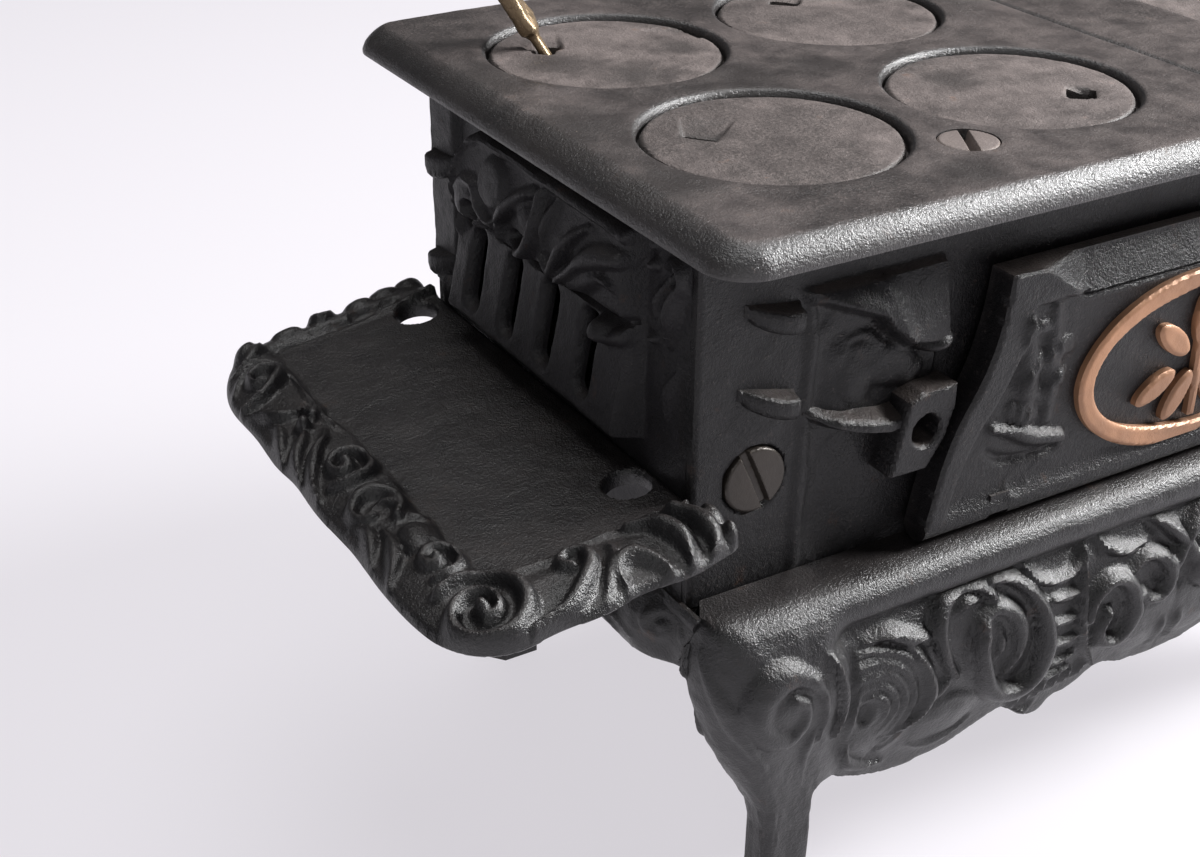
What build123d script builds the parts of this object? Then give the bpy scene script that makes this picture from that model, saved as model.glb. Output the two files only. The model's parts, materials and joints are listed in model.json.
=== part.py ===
"""Toy cast-iron cook range: separate castings held by long slotted bolts.

Millimetres, +Z up, +X to the stove's right, +Y to its back, floor at Z = 0.
The origin is under the middle of the whole model, side shelf included.
The helpers below take stove coordinates: x from the stove's centre line,
y from the middle of the cooking plate, and z from a datum FLOOR below the feet.
"""
from build123d import *
from math import cos, radians, sin
import os

os.makedirs("parts", exist_ok=True)

# ---- driving dimensions -------------------------------------------------
CX = 21.49           # stove centre line in the model frame
CY = 1.25            # middle of the cooking plate in the model frame
FLOOR = 17.0         # height of the feet in stove coordinates
TOP = 165.0          # cooking surface, so 148 above the floor
PLATE_W = 228.0      # cooking plate, side to side
PLATE_D = 136.0      # cooking plate, front to back
PLATE_T = 5.0
PLATE_BEVEL = 4.5
PLATE_CORNER = 8.0
SEAM_X = 11.0        # joint between the burner plate and the warming plate
SEAM_GAP = 0.4

LID_R = 22.5
LID_T = 2.6
LID_DROP = 0.8       # lid top below the cooking surface
WELL_GAP = 0.6
LEDGE_R = 20.5
LID_X = (-78.0, -25.0)
LID_Y = (-27.5, 27.5)
KEY_L = 6.8
KEY_W = 4.4

COVER = (38.0, 98.0, -36.0, 36.0)    # x0, x1, y0, y1 of the warming cover well
COVER_LEDGE = 2.5
FLUE = (24.5, 51.0)
FLUE_R = 8.5
FLUE_H = 11.0
FLUE_WALL = 2.0

HALF_W = 109.0       # body half width
FRONT = -53.0        # front face of the body
BACK = 41.0
WALL = 2.5
BODY_Z0 = 93.0
BODY_Z1 = TOP - PLATE_T
FACING = 2.0         # column facings stand this far ahead of the front wall

OVEN_X = 47.0        # inner half width of the oven
OVEN_WALL = 2.0
OVEN_BACK = 27.0
OVEN_ROOF = 141.0
OPENING_X = 43.0
OPENING_Z = (99.0, 139.0)

DOOR_FRONT = -60.3
DOOR_BACK = -54.4
HINGE_Y = -57.3
HINGE_Z = 98.6
KNUCKLE_R = 3.0
PIN_R = 1.2
PIN_CLEAR = 0.05
DOOR_HALF = 63.8

BOLT_X = 96.6
BOLT_Z = 115.7
BOLT_R = 2.2
BOLT_HEAD_R = 6.0
TIE_AT = ((-51.2, -46.3), (51.2, -46.3), (24.5, 32.5))
TIE_SLOT_TURN = (62, 15, 130)
TIE_R = 1.6
TIE_HEAD_R = 5.4

SHELF_Z = 115.0      # top of the shelf where it meets the body
SHELF_T = 3.0
SHELF_X = -109.4     # its inner edge
SHELF_DROOP = 6.0    # degrees down towards its outer edge
SHELF_LEN = 50.6     # along the slope
SHELF_Y = (-67.5, 52.0)
FIELD_LEN = 36.0     # flat field inside the raised border
FIELD_Y = (-51.0, 42.0)
SHELF_HOLES = ((-7.24, 36.0), (-5.23, -42.0))
SHELF_HOLE_R = 4.1
TAB_Y = (-22.0, 14.0)

BASE_TOP = 95.0
LEG_X = 92.0
LEG_Y = (-58.5, 46.5)
BODY_MID_Y = (FRONT + BACK) / 2


# ---- placing helpers ----------------------------------------------------
def level(z):
    """Horizontal plane at height z, in stove coordinates."""
    return Plane(origin=(CX, CY, z))


def facing_front(y):
    """Upright plane whose sketch axes are x and z; it extrudes to the front."""
    return Plane(origin=(CX, CY + y, 0), x_dir=(1, 0, 0), z_dir=(0, -1, 0))


def facing_right(x):
    """Upright plane whose sketch axes are y and z; it extrudes to the right."""
    return Plane(origin=(CX + x, CY, 0), x_dir=(0, 1, 0), z_dir=(1, 0, 0))


def slab(x0, x1, y0, y1, z0, z1, mode=Mode.ADD):
    """Box between two corners."""
    with Locations((CX + (x0 + x1) / 2, CY + (y0 + y1) / 2, (z0 + z1) / 2)):
        Box(x1 - x0, y1 - y0, z1 - z0, mode=mode)


def disc(x, y, z0, z1, radius, mode=Mode.ADD):
    """Upright cylinder between two heights."""
    with Locations((CX + x, CY + y, (z0 + z1) / 2)):
        Cylinder(radius, z1 - z0, mode=mode)


def bar_y(x, z, y0, y1, radius, mode=Mode.ADD):
    """Cylinder along Y."""
    with Locations(Location((CX + x, CY + (y0 + y1) / 2, z), (90, 0, 0))):
        Cylinder(radius, y1 - y0, mode=mode)


def bar_x(y, z, x0, x1, radius, mode=Mode.ADD):
    """Cylinder along X."""
    with Locations(Location((CX + (x0 + x1) / 2, CY + y, z), (0, 90, 0))):
        Cylinder(radius, x1 - x0, mode=mode)


def save(builder, name):
    """Label a finished piece and write it, set down so that the floor is at height 0."""
    builder.part.label = name
    export_step(builder.part.moved(Location((0, 0, -FLOOR))), f"parts/{name}.step")


def outline(plane, points):
    """Closed straight-sided face on a plane."""
    with BuildSketch(plane) as face:
        with BuildLine():
            Polyline(*points, close=True)
        make_face()
    return face.sketch


# ---- cooking plates -----------------------------------------------------
PLATE_Z0 = TOP - PLATE_T
LID_TOP = TOP - LID_DROP
LEDGE_Z = LID_TOP - LID_T

with BuildPart() as whole_plate:
    with BuildSketch(level(PLATE_Z0)):
        RectangleRounded(PLATE_W, PLATE_D, PLATE_CORNER)
    extrude(amount=PLATE_T)
    rim = whole_plate.faces().sort_by(Axis.Z)[-1].edges()
    chamfer(rim, PLATE_BEVEL * 0.98)
    for tie_x, tie_y in TIE_AT:
        with Locations((CX + tie_x, CY + tie_y, TOP)):
            CounterSinkHole(TIE_R + 0.2, TIE_HEAD_R + 0.1, counter_sink_angle=90)

with BuildPart() as burner_plate:
    add(whole_plate.part)
    split(bisect_by=Plane.YZ.offset(CX + SEAM_X - SEAM_GAP / 2), keep=Keep.BOTTOM)
    for lid_x in LID_X:
        for lid_y in LID_Y:
            disc(lid_x, lid_y, LEDGE_Z, TOP + 1, LID_R + WELL_GAP, Mode.SUBTRACT)
            disc(lid_x, lid_y, PLATE_Z0 - 1, TOP, LEDGE_R, Mode.SUBTRACT)
save(burner_plate, "burner_plate")

cover_x0, cover_x1, cover_y0, cover_y1 = COVER
with BuildPart() as warming_plate:
    add(whole_plate.part)
    split(bisect_by=Plane.YZ.offset(CX + SEAM_X + SEAM_GAP / 2), keep=Keep.TOP)
    slab(cover_x0, cover_x1, cover_y0, cover_y1, LEDGE_Z, TOP + 1, Mode.SUBTRACT)
    slab(cover_x0 + COVER_LEDGE, cover_x1 - COVER_LEDGE, cover_y0 + COVER_LEDGE,
         cover_y1 - COVER_LEDGE, PLATE_Z0 - 1, TOP, Mode.SUBTRACT)
    disc(*FLUE, PLATE_Z0 - 1, TOP + 1, FLUE_R + FLUE_WALL + 0.1, Mode.SUBTRACT)
save(warming_plate, "warming_plate")

# Each lid: name, well centre, key slot place from the lid centre, slot angle.
LIDS = (
    ("lid_front_left", LID_X[0], LID_Y[0], (-9.9, 7.3), -48),
    ("lid_front_right", LID_X[1], LID_Y[0], (9.6, -8.2), -42),
    ("lid_back_left", LID_X[0], LID_Y[1], (-9.0, 7.5), 140),
    ("lid_back_right", LID_X[1], LID_Y[1], (-2.2, 12.0), -45),
)
for lid_name, lid_x, lid_y, key_at, key_angle in LIDS:
    with BuildPart() as lid:
        disc(lid_x, lid_y, LEDGE_Z, LID_TOP, LID_R)
        with BuildSketch(level(LID_TOP)):
            with Locations((lid_x + key_at[0], lid_y + key_at[1])):
                Rectangle(KEY_L, KEY_W, rotation=key_angle)
        extrude(amount=-LID_T, mode=Mode.SUBTRACT)
    save(lid, lid_name)

with BuildPart() as warming_cover:
    slab(cover_x0 + WELL_GAP, cover_x1 - WELL_GAP, cover_y0 + WELL_GAP,
         cover_y1 - WELL_GAP, LEDGE_Z, LID_TOP)
    with BuildSketch(level(LID_TOP)):
        with Locations((cover_x1 - 12, 0)):
            Rectangle(KEY_W, KEY_L)
    extrude(amount=-LID_T, mode=Mode.SUBTRACT)
save(warming_cover, "warming_cover")

# The lifter leans out of the key slot of the back left lid.
LEAN = Vector(-0.42, 0.36, 0.83).normalized()
LIFTER_FOOT = Vector(CX + LID_X[0] - 9.0, CY + LID_Y[1] + 7.5, (LEDGE_Z + LID_TOP) / 2)
LIFTER_L = 62.0
LIFTER_W = 4.6
LIFTER_T = 3.4
TONGUE_W = 2.6
TONGUE_T = 1.9
TONGUE_L = 4.2
lean_side = LEAN.cross(Vector(0, 0, 1)).normalized()
with BuildPart() as lid_lifter:
    with BuildSketch(Plane(origin=LIFTER_FOOT - LEAN * TONGUE_L, x_dir=lean_side, z_dir=LEAN)):
        Rectangle(TONGUE_W, TONGUE_T)
    extrude(amount=TONGUE_L + 5.0)
    shank = Plane(origin=LIFTER_FOOT + LEAN * 4.5, x_dir=lean_side, z_dir=LEAN)
    with BuildSketch(shank):
        RectangleRounded(LIFTER_W, LIFTER_T, 1.2)
    with BuildSketch(shank.offset(LIFTER_L * 0.55)):
        RectangleRounded(LIFTER_W * 0.85, LIFTER_T, 1.2)
    with BuildSketch(shank.offset(LIFTER_L)):
        RectangleRounded(LIFTER_W * 1.5, LIFTER_T * 1.2, 1.2)
    loft()
    with Locations(Plane(origin=LIFTER_FOOT + LEAN * 8.0, x_dir=lean_side, z_dir=LEAN)):
        with Locations((LIFTER_W * 0.6, 0, 0)):
            Box(LIFTER_W, LIFTER_T * 0.7, 2.4)
save(lid_lifter, "lid_lifter")

# ---- front panel --------------------------------------------------------
WALL_FRONT = FRONT + FACING
WALL_BACK = WALL_FRONT + WALL
COLUMN_IN = 59.3     # inner edge of the column facing above the lug
FACING_IN = 73.0     # and beside it
FACING_STEP_Z = 125.5
LUG = ((-69.1, 125.2), (-66.2, 126.4), (-58.4, 126.4), (-58.5, 122.3), (-60.0, 116.5),
       (-63.9, 110.8), (-72.0, 111.2))
LUG_FRONT = -58.8
LUG_HOLE = (-64.7, 118.8)
LUG_HOLE_R = 3.0
EAR_X = (44.5, 48.5)
EAR_R = 2.4
NOTCH_X = (44.0, 49.0)
PIN_X = (41.5, 51.5)

def column_relief(side):
    """Faces raised on one column: fire door block, ledge, half-moon lumps."""
    block = [(-89.5, 146.5), (-59.3, 148.0), (-59.3, 128.0), (-89.5, 126.0)]
    ledge = [(-90.5, 128.5), (-58.8, 128.5), (-60.5, 124.5), (-75.0, 122.5), (-89.5, 124.5)]
    return [([(side * -x, z) for x, z in block], 4.5),
            ([(side * -x, z) for x, z in ledge], 6.5)]

lug_faces = [outline(facing_front(WALL_FRONT), [(side * -x, z) for x, z in LUG])
             for side in (-1, 1)]
column_faces = [(outline(facing_front(FRONT), points), depth)
                for side in (-1, 1) for points, depth in column_relief(side)]

with BuildPart() as front_panel:
    slab(-HALF_W + WALL, HALF_W - WALL, WALL_FRONT, WALL_BACK, BODY_Z0, BODY_Z1)
    for side in (-1, 1):
        for inner, foot_z in ((COLUMN_IN, FACING_STEP_Z), (FACING_IN, BODY_Z0)):
            near, far = sorted((side * inner, side * HALF_W))
            slab(near, far, FRONT, WALL_FRONT, foot_z, BODY_Z1)
    slab(-OPENING_X - 3, OPENING_X + 3, FRONT - 0.3, WALL_FRONT,
         OPENING_Z[0] - 2, OPENING_Z[1] + 3)
    for face, depth in column_faces:
        extrude(to_extrude=face, amount=depth)
    for face in lug_faces:
        extrude(to_extrude=face, amount=WALL_FRONT - LUG_FRONT)
    for side in (-1, 1):
        for lump_z in (146.5, 131.0):
            with Locations((CX + side * 96.0, CY + FRONT, lump_z)):
                Box(9.6, 3.6, 6.0)
        near, far = sorted((side * EAR_X[0], side * EAR_X[1]))
        slab(near, far, HINGE_Y, WALL_FRONT, HINGE_Z - EAR_R, HINGE_Z + EAR_R)
        bar_x(HINGE_Y, HINGE_Z, near, far, EAR_R)
        bar_x(HINGE_Y, HINGE_Z, near - 1, far + 1, PIN_R, Mode.SUBTRACT)
        bar_y(side * -LUG_HOLE[0], LUG_HOLE[1], LUG_FRONT - 1, WALL_BACK + 1,
              LUG_HOLE_R, Mode.SUBTRACT)
        bar_y(side * BOLT_X, BOLT_Z, FRONT - 1, WALL_BACK + 1, BOLT_R + 0.1, Mode.SUBTRACT)
        bar_y(side * BOLT_X, BOLT_Z, FRONT - 1, FRONT + 1.2, BOLT_HEAD_R + 0.2, Mode.SUBTRACT)
    slab(-OPENING_X, OPENING_X, FRONT - 2, WALL_BACK + 1, *OPENING_Z, Mode.SUBTRACT)
save(front_panel, "front_panel")

# ---- back and side panels -----------------------------------------------
with BuildPart() as back_panel:
    slab(-HALF_W, HALF_W, BACK - WALL, BACK, BODY_Z0, BODY_Z1)
    slab(-HALF_W + 24, HALF_W - 24, BACK, BACK + 1.5, BODY_Z0 + 10, BODY_Z1 - 10)
    for side in (-1, 1):
        bar_y(side * BOLT_X, BOLT_Z, BACK - WALL - 1, BACK + 1, BOLT_R + 0.1, Mode.SUBTRACT)
save(back_panel, "back_panel")

DRAFT_Y = (-38.0, 27.0)
DRAFT_SHELL = ((-108.5, 121.0), (-115.2, 121.0), (-111.6, 139.5), (-113.8, 142.0),
               (-114.2, 149.0), (-112.0, 158.0), (-108.5, 158.0))
DRAFT_HOLLOW = ((-105.5, 124.0), (-112.2, 124.0), (-109.1, 140.0), (-111.2, 143.0),
                (-111.6, 149.0), (-109.9, 155.5), (-105.5, 155.5))
DRAFT_SLOTS = (-25.0, -11.5, 2.0, 15.5)
DRAFT_SLOT_W = 4.8
DRAFT_SLOT_Z = (123.5, 138.5)
DRAFT_WALL = 2.5
PILASTER = 10.0

with BuildPart() as left_side_panel:
    slab(-HALF_W, -HALF_W + WALL, WALL_FRONT, BACK - WALL, BODY_Z0, BODY_Z1)
    slab(-HALF_W - 1.5, -HALF_W, BACK - WALL - PILASTER, BACK - WALL, SHELF_Z + 4, BODY_Z1)
    extrude(to_extrude=outline(facing_front(DRAFT_Y[1]), DRAFT_SHELL),
            amount=DRAFT_Y[1] - DRAFT_Y[0])
    extrude(to_extrude=outline(facing_front(DRAFT_Y[1] - DRAFT_WALL), DRAFT_HOLLOW),
            amount=DRAFT_Y[1] - DRAFT_Y[0] - 2 * DRAFT_WALL, mode=Mode.SUBTRACT)
    for slot_y in DRAFT_SLOTS:
        slab(-HALF_W - 8, -HALF_W + WALL + 1, slot_y - DRAFT_SLOT_W / 2,
             slot_y + DRAFT_SLOT_W / 2, *DRAFT_SLOT_Z, Mode.SUBTRACT)
    for tab_y in TAB_Y:
        slab(-HALF_W - 1, -HALF_W + WALL + 1, tab_y - 4.3, tab_y + 4.3,
             SHELF_Z - SHELF_T - 0.3, SHELF_Z + 0.3, Mode.SUBTRACT)
save(left_side_panel, "left_side_panel")

with BuildPart() as right_side_panel:
    slab(HALF_W - WALL, HALF_W, WALL_FRONT, BACK - WALL, BODY_Z0, BODY_Z1)
    slab(HALF_W, HALF_W + 1.5, BACK - WALL - PILASTER, BACK - WALL, BODY_Z0 + 4, BODY_Z1)
    slab(HALF_W, HALF_W + 3.0, *DRAFT_Y, 104.0, 158.0)
    panel_edge = right_side_panel.faces().filter_by(Axis.X).sort_by(Axis.X)[-1].edges()
    chamfer(panel_edge, 2.0)
save(right_side_panel, "right_side_panel")

# ---- inside of the body -------------------------------------------------
with BuildPart() as bottom_plate:
    slab(-HALF_W, HALF_W, FRONT, BACK, BODY_Z0 - 3, BODY_Z0)
    for tie_x, tie_y in TIE_AT:
        disc(tie_x, tie_y, BODY_Z0 - 4, BODY_Z0 + 1, TIE_R + 0.1, Mode.SUBTRACT)
save(bottom_plate, "bottom_plate")

for side, wall_name in ((-1, "oven_left_wall"), (1, "oven_right_wall")):
    near, far = sorted((side * OVEN_X, side * (OVEN_X + OVEN_WALL)))
    with BuildPart() as oven_wall:
        slab(near, far, WALL_BACK, OVEN_BACK + OVEN_WALL, BODY_Z0, OVEN_ROOF)
    save(oven_wall, wall_name)

with BuildPart() as oven_back_wall:
    slab(-OVEN_X, OVEN_X, OVEN_BACK, OVEN_BACK + OVEN_WALL, BODY_Z0, OVEN_ROOF)
save(oven_back_wall, "oven_back_wall")

with BuildPart() as oven_roof:
    slab(-OVEN_X - OVEN_WALL, OVEN_X + OVEN_WALL, WALL_BACK, OVEN_BACK + OVEN_WALL,
         OVEN_ROOF, OVEN_ROOF + OVEN_WALL)
save(oven_roof, "oven_roof")

RACK_Z = 116.0
RACK_BAR = 2.0
RACK_Y = (-44.0, 24.0)
with BuildPart() as oven_rack:
    for bar_end_y in RACK_Y:
        slab(-OVEN_X, OVEN_X, bar_end_y - RACK_BAR / 2, bar_end_y + RACK_BAR / 2,
             RACK_Z, RACK_Z + RACK_BAR)
    for step in range(11):
        rail_x = -45.0 + step * 9.0
        slab(rail_x - RACK_BAR / 2, rail_x + RACK_BAR / 2, *RACK_Y, RACK_Z, RACK_Z + RACK_BAR)
save(oven_rack, "oven_rack")

GRATE_Z = 104.0
GRATE_X = (-HALF_W + WALL, -OVEN_X - OVEN_WALL - 6)
with BuildPart() as fire_grate:
    for end_y in (WALL_BACK + 2, BACK - WALL - 2):
        slab(*GRATE_X, end_y - 2, end_y + 2, GRATE_Z, GRATE_Z + 3)
    for step in range(7):
        rail_x = GRATE_X[0] + 2 + step * (GRATE_X[1] - GRATE_X[0] - 4) / 6
        slab(rail_x - 2, rail_x + 2, WALL_BACK + 2, BACK - WALL - 2, GRATE_Z, GRATE_Z + 3)
save(fire_grate, "fire_grate")

# ---- oven door ----------------------------------------------------------
DOOR_TOP = 145.0
DOOR_BOTTOM = HINGE_Z
DOOR_EDGE = ((50.1, DOOR_TOP), (51.2, 136.0), (54.0, 126.5), (58.6, 118.2),
             (61.4, 110.0), (63.2, 102.0), (DOOR_HALF, DOOR_BOTTOM))
DOOR_PLATE = DOOR_FRONT + 2.0

with BuildPart() as oven_door:
    with BuildSketch(facing_front(DOOR_BACK)):
        with BuildLine():
            Spline(*DOOR_EDGE)
            Line(DOOR_EDGE[-1], (-DOOR_HALF, DOOR_BOTTOM))
            Spline(*[(-x, z) for x, z in DOOR_EDGE])
            Line((-DOOR_EDGE[0][0], DOOR_TOP), DOOR_EDGE[0])
        make_face()
    extrude(amount=DOOR_BACK - DOOR_FRONT)
    bar_x(HINGE_Y, HINGE_Z, -DOOR_HALF, DOOR_HALF, KNUCKLE_R)
    with BuildSketch(facing_front(DOOR_PLATE)):
        with Locations((0, (DOOR_TOP + 104) / 2)):
            RectangleRounded(2 * DOOR_EDGE[0][0] - 10, DOOR_TOP - 104 - 6, 5)
    extrude(amount=4, mode=Mode.SUBTRACT)
    with BuildSketch(facing_front(DOOR_PLATE)):
        with Locations((0, (DOOR_TOP + 104) / 2)):
            Ellipse(30, 15)
            Ellipse(26.5, 11.5, mode=Mode.SUBTRACT)
    extrude(amount=1.8)
    for side in (-1, 1):
        near, far = sorted((side * NOTCH_X[0], side * NOTCH_X[1]))
        slab(near, far, DOOR_FRONT - 1, DOOR_BACK + 1, HINGE_Z - KNUCKLE_R - 1,
             HINGE_Z + KNUCKLE_R, Mode.SUBTRACT)
        near, far = sorted((side * (PIN_X[0] - 0.3), side * (PIN_X[1] + 0.3)))
        bar_x(HINGE_Y, HINGE_Z, near, far, PIN_R + PIN_CLEAR, Mode.SUBTRACT)
save(oven_door, "oven_door")

with BuildPart() as door_hinge_pins:
    for side in (-1, 1):
        near, far = sorted((side * PIN_X[0], side * PIN_X[1]))
        bar_x(HINGE_Y, HINGE_Z, near, far, PIN_R)
save(door_hinge_pins, "door_hinge_pins")

# ---- base: front and back castings with legs, side skirts ---------------
APRON_SIDE = ((0.0, 51.0), (8.0, 51.6), (15.3, 53.3), (24.5, 48.8), (30.5, 45.4), (35.0, 47.0),
              (40.6, 51.4), (50.3, 47.9), (64.9, 46.6), (79.4, 49.7), (86.0, 54.0),
              (96.0, 62.0), (104.0, 74.0), (108.0, 86.0), (108.0, BASE_TOP), (0.0, BASE_TOP))
# Leg sections: height, x and y of the centre outward, half width, corner radius.
LEG_SECTIONS = ((93.0, 101.0, 2.0, 9.5, 4.0), (88.0, 101.5, -1.5, 10.5, 5.5),
                (80.0, 101.0, -1.5, 10.5, 5.0), (70.0, 98.0, -0.5, 9.8, 4.0),
                (60.0, 94.0, 0.0, 7.8, 3.0), (50.0, LEG_X, 0.0, 5.6, 2.6),
                (FLOOR + 9.0, LEG_X, 0.0, 5.2, 2.4), (FLOOR, LEG_X, 0.0, 6.6, 2.8))

# Front half section of the apron, from the hidden flange round the bead and down.
with BuildSketch(facing_right(-108.0)) as apron_section:
    with BuildLine():
        Polyline((-57.0, 86.0), (-50.5, 86.0), (-50.5, 89.8), (-53.3, 89.8),
                 (-53.3, BASE_TOP), (-60.5, BASE_TOP))
        ThreePointArc((-60.5, BASE_TOP), (-65.0, 90.5), (-60.5, 86.0))
        Spline((-60.5, 86.0), (-66.0, 75.0), (-60.5, 45.0))
        Line((-60.5, 45.0), (-57.0, 45.0))
        Spline((-57.0, 45.0), (-61.8, 74.0), (-57.0, 86.0))
    make_face()

with BuildPart() as apron:
    extrude(to_extrude=apron_section.sketch, amount=216)
    mirrored = [(-x, z) for x, z in APRON_SIDE[1:-1]][::-1]
    with BuildSketch(facing_front(-44.0)):
        with BuildLine():
            Polyline(*APRON_SIDE, *mirrored, close=True)
        make_face()
    extrude(amount=30, mode=Mode.INTERSECT)

with BuildPart() as base_front:
    add(apron.part)
    for side in (-1, 1):
        for upper, lower in zip(LEG_SECTIONS, LEG_SECTIONS[1:]):
            rings = []
            for z, leg_x, inward, half, corner in (upper, lower):
                with BuildSketch(level(z), mode=Mode.PRIVATE) as ring:
                    with Locations((side * leg_x, LEG_Y[0] + inward)):
                        RectangleRounded(2 * half, 2 * half, corner)
                rings.append(ring.sketch.face())
            loft(sections=rings)
    slab(-HALF_W - 0.2, HALF_W + 0.2, FRONT - 0.3, FRONT + 40, 90.0, BASE_TOP + 1, Mode.SUBTRACT)
save(base_front, "base_front")

with BuildPart() as base_back:
    add(mirror(base_front.part, about=Plane.XZ.offset(-(CY + BODY_MID_Y)), mode=Mode.PRIVATE))
save(base_back, "base_back")

SKIRT_Y = (-57.5, 45.5)
FLANGE_Y = (-45.0, 33.0)
SKIRT_PLATE = ((-112.3, 80.8), (-114.8, 80.8), (-116.8, 85.0), (-117.0, 88.5),
               (-115.8, 92.5), (-112.8, BASE_TOP), (-111.2, BASE_TOP), (-112.3, 92.0))
SKIRT_FLANGE = ((-112.8, 86.0), (-100.0, 86.0), (-100.0, 89.8), (-109.3, 89.8),
                (-109.3, BASE_TOP), (-112.8, BASE_TOP))

with BuildPart() as base_left_skirt:
    extrude(to_extrude=outline(facing_front(SKIRT_Y[1]), SKIRT_PLATE),
            amount=SKIRT_Y[1] - SKIRT_Y[0])
    extrude(to_extrude=outline(facing_front(FLANGE_Y[1]), SKIRT_FLANGE),
            amount=FLANGE_Y[1] - FLANGE_Y[0])
save(base_left_skirt, "base_left_skirt")

with BuildPart() as base_right_skirt:
    add(mirror(base_left_skirt.part, about=Plane.YZ.offset(CX), mode=Mode.PRIVATE))
save(base_right_skirt, "base_right_skirt")

# ---- side shelf ---------------------------------------------------------
DROOP = radians(SHELF_DROOP)
SHELF_UP = 2.5       # border above the field
shelf_frame = Plane(origin=(CX + SHELF_X, CY, SHELF_Z), x_dir=(cos(DROOP), 0, sin(DROOP)),
                    z_dir=(-sin(DROOP), 0, cos(DROOP)))


def shelf_face(height, length, y0, y1, corner):
    """Rectangle on the drooping shelf with rounded outer corners."""
    with BuildSketch(shelf_frame.offset(height)) as face:
        with Locations((-length / 2, (y0 + y1) / 2)):
            Rectangle(length, y1 - y0)
        fillet(face.vertices().sort_by(Axis.X)[:2], corner)
    return face.sketch


with BuildPart() as side_shelf:
    extrude(to_extrude=shelf_face(-SHELF_T, SHELF_LEN, *SHELF_Y, 9.0),
            amount=SHELF_T + SHELF_UP)
    extrude(to_extrude=shelf_face(0.0, FIELD_LEN, *FIELD_Y, 2.0), amount=4,
            mode=Mode.SUBTRACT)
    with Locations(shelf_frame):
        with Locations(*SHELF_HOLES):
            Cylinder(SHELF_HOLE_R, 3 * SHELF_T, mode=Mode.SUBTRACT)
    for tab_y in TAB_Y:
        slab(SHELF_X - 1, -HALF_W + WALL + 2, tab_y - 4, tab_y + 4,
             SHELF_Z - SHELF_T, SHELF_Z)
        slab(-HALF_W + WALL + 0.3, -HALF_W + WALL + 2, tab_y - 4, tab_y + 4,
             SHELF_Z - SHELF_T - 4, SHELF_Z)
save(side_shelf, "side_shelf")

# ---- bolts, nuts and flue collar ----------------------------------------
SLOT_W = 1.3
TIE_SUNK = 0.3
with BuildPart() as top_tie_bolts:
    for (tie_x, tie_y), turn in zip(TIE_AT, TIE_SLOT_TURN):
        disc(tie_x, tie_y, BODY_Z0 - 8, TOP - 1, TIE_R)
        with Locations(Location((CX + tie_x, CY + tie_y, TOP - TIE_SUNK), (0, 0, turn))):
            Cone(TIE_R, TIE_HEAD_R - TIE_SUNK, TIE_HEAD_R - TIE_SUNK - TIE_R,
                 align=(Align.CENTER, Align.CENTER, Align.MAX))
            Box(2 * TIE_HEAD_R, SLOT_W, 2.4, mode=Mode.SUBTRACT)
save(top_tie_bolts, "top_tie_bolts")

with BuildPart() as tie_nuts:
    with BuildSketch(level(BODY_Z0 - 6.5)):
        with Locations(*TIE_AT):
            Rectangle(7.0, 7.0)
            Circle(TIE_R + 0.05, mode=Mode.SUBTRACT)
    extrude(amount=3.5)
save(tie_nuts, "tie_nuts")

with BuildPart() as column_bolts:
    for side in (-1, 1):
        bar_y(side * BOLT_X, BOLT_Z, FRONT + 0.5, BACK + 6, BOLT_R)
        bar_y(side * BOLT_X, BOLT_Z, FRONT - 0.8, FRONT + 1.2, BOLT_HEAD_R)
        with Locations(Location((CX + side * BOLT_X, CY + FRONT - 0.8, BOLT_Z), (0, -28, 0))):
            Box(SLOT_W, 2.4, 2 * BOLT_HEAD_R + 1, mode=Mode.SUBTRACT)
save(column_bolts, "column_bolts")

with BuildPart() as column_nuts:
    with BuildSketch(facing_front(BACK + 4.5)):
        with Locations((-BOLT_X, BOLT_Z), (BOLT_X, BOLT_Z)):
            RegularPolygon(5.0, 6)
            Circle(BOLT_R + 0.05, mode=Mode.SUBTRACT)
    extrude(amount=4.5)
save(column_nuts, "column_nuts")

flue_x, flue_y = FLUE
with BuildPart() as flue_collar:
    disc(flue_x, flue_y, TOP, TOP + 2.5, 12.5)
    disc(flue_x, flue_y, TOP, TOP + FLUE_H, FLUE_R + FLUE_WALL)
    disc(flue_x, flue_y, PLATE_Z0, TOP, FLUE_R + FLUE_WALL)
    disc(flue_x, flue_y, PLATE_Z0 - 1, TOP + FLUE_H + 1, FLUE_R, Mode.SUBTRACT)
save(flue_collar, "flue_collar")
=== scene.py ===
"""Looks of a toy cast-iron cook range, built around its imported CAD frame.

Shape functions work in millimetres and in stove coordinates: x from the stove's centre
line, y from the middle of the cooking plate, z from a datum FLOOR below the feet.
"""
import json
import math
import bpy
import numpy as np
from mathutils import Matrix, Vector


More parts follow.
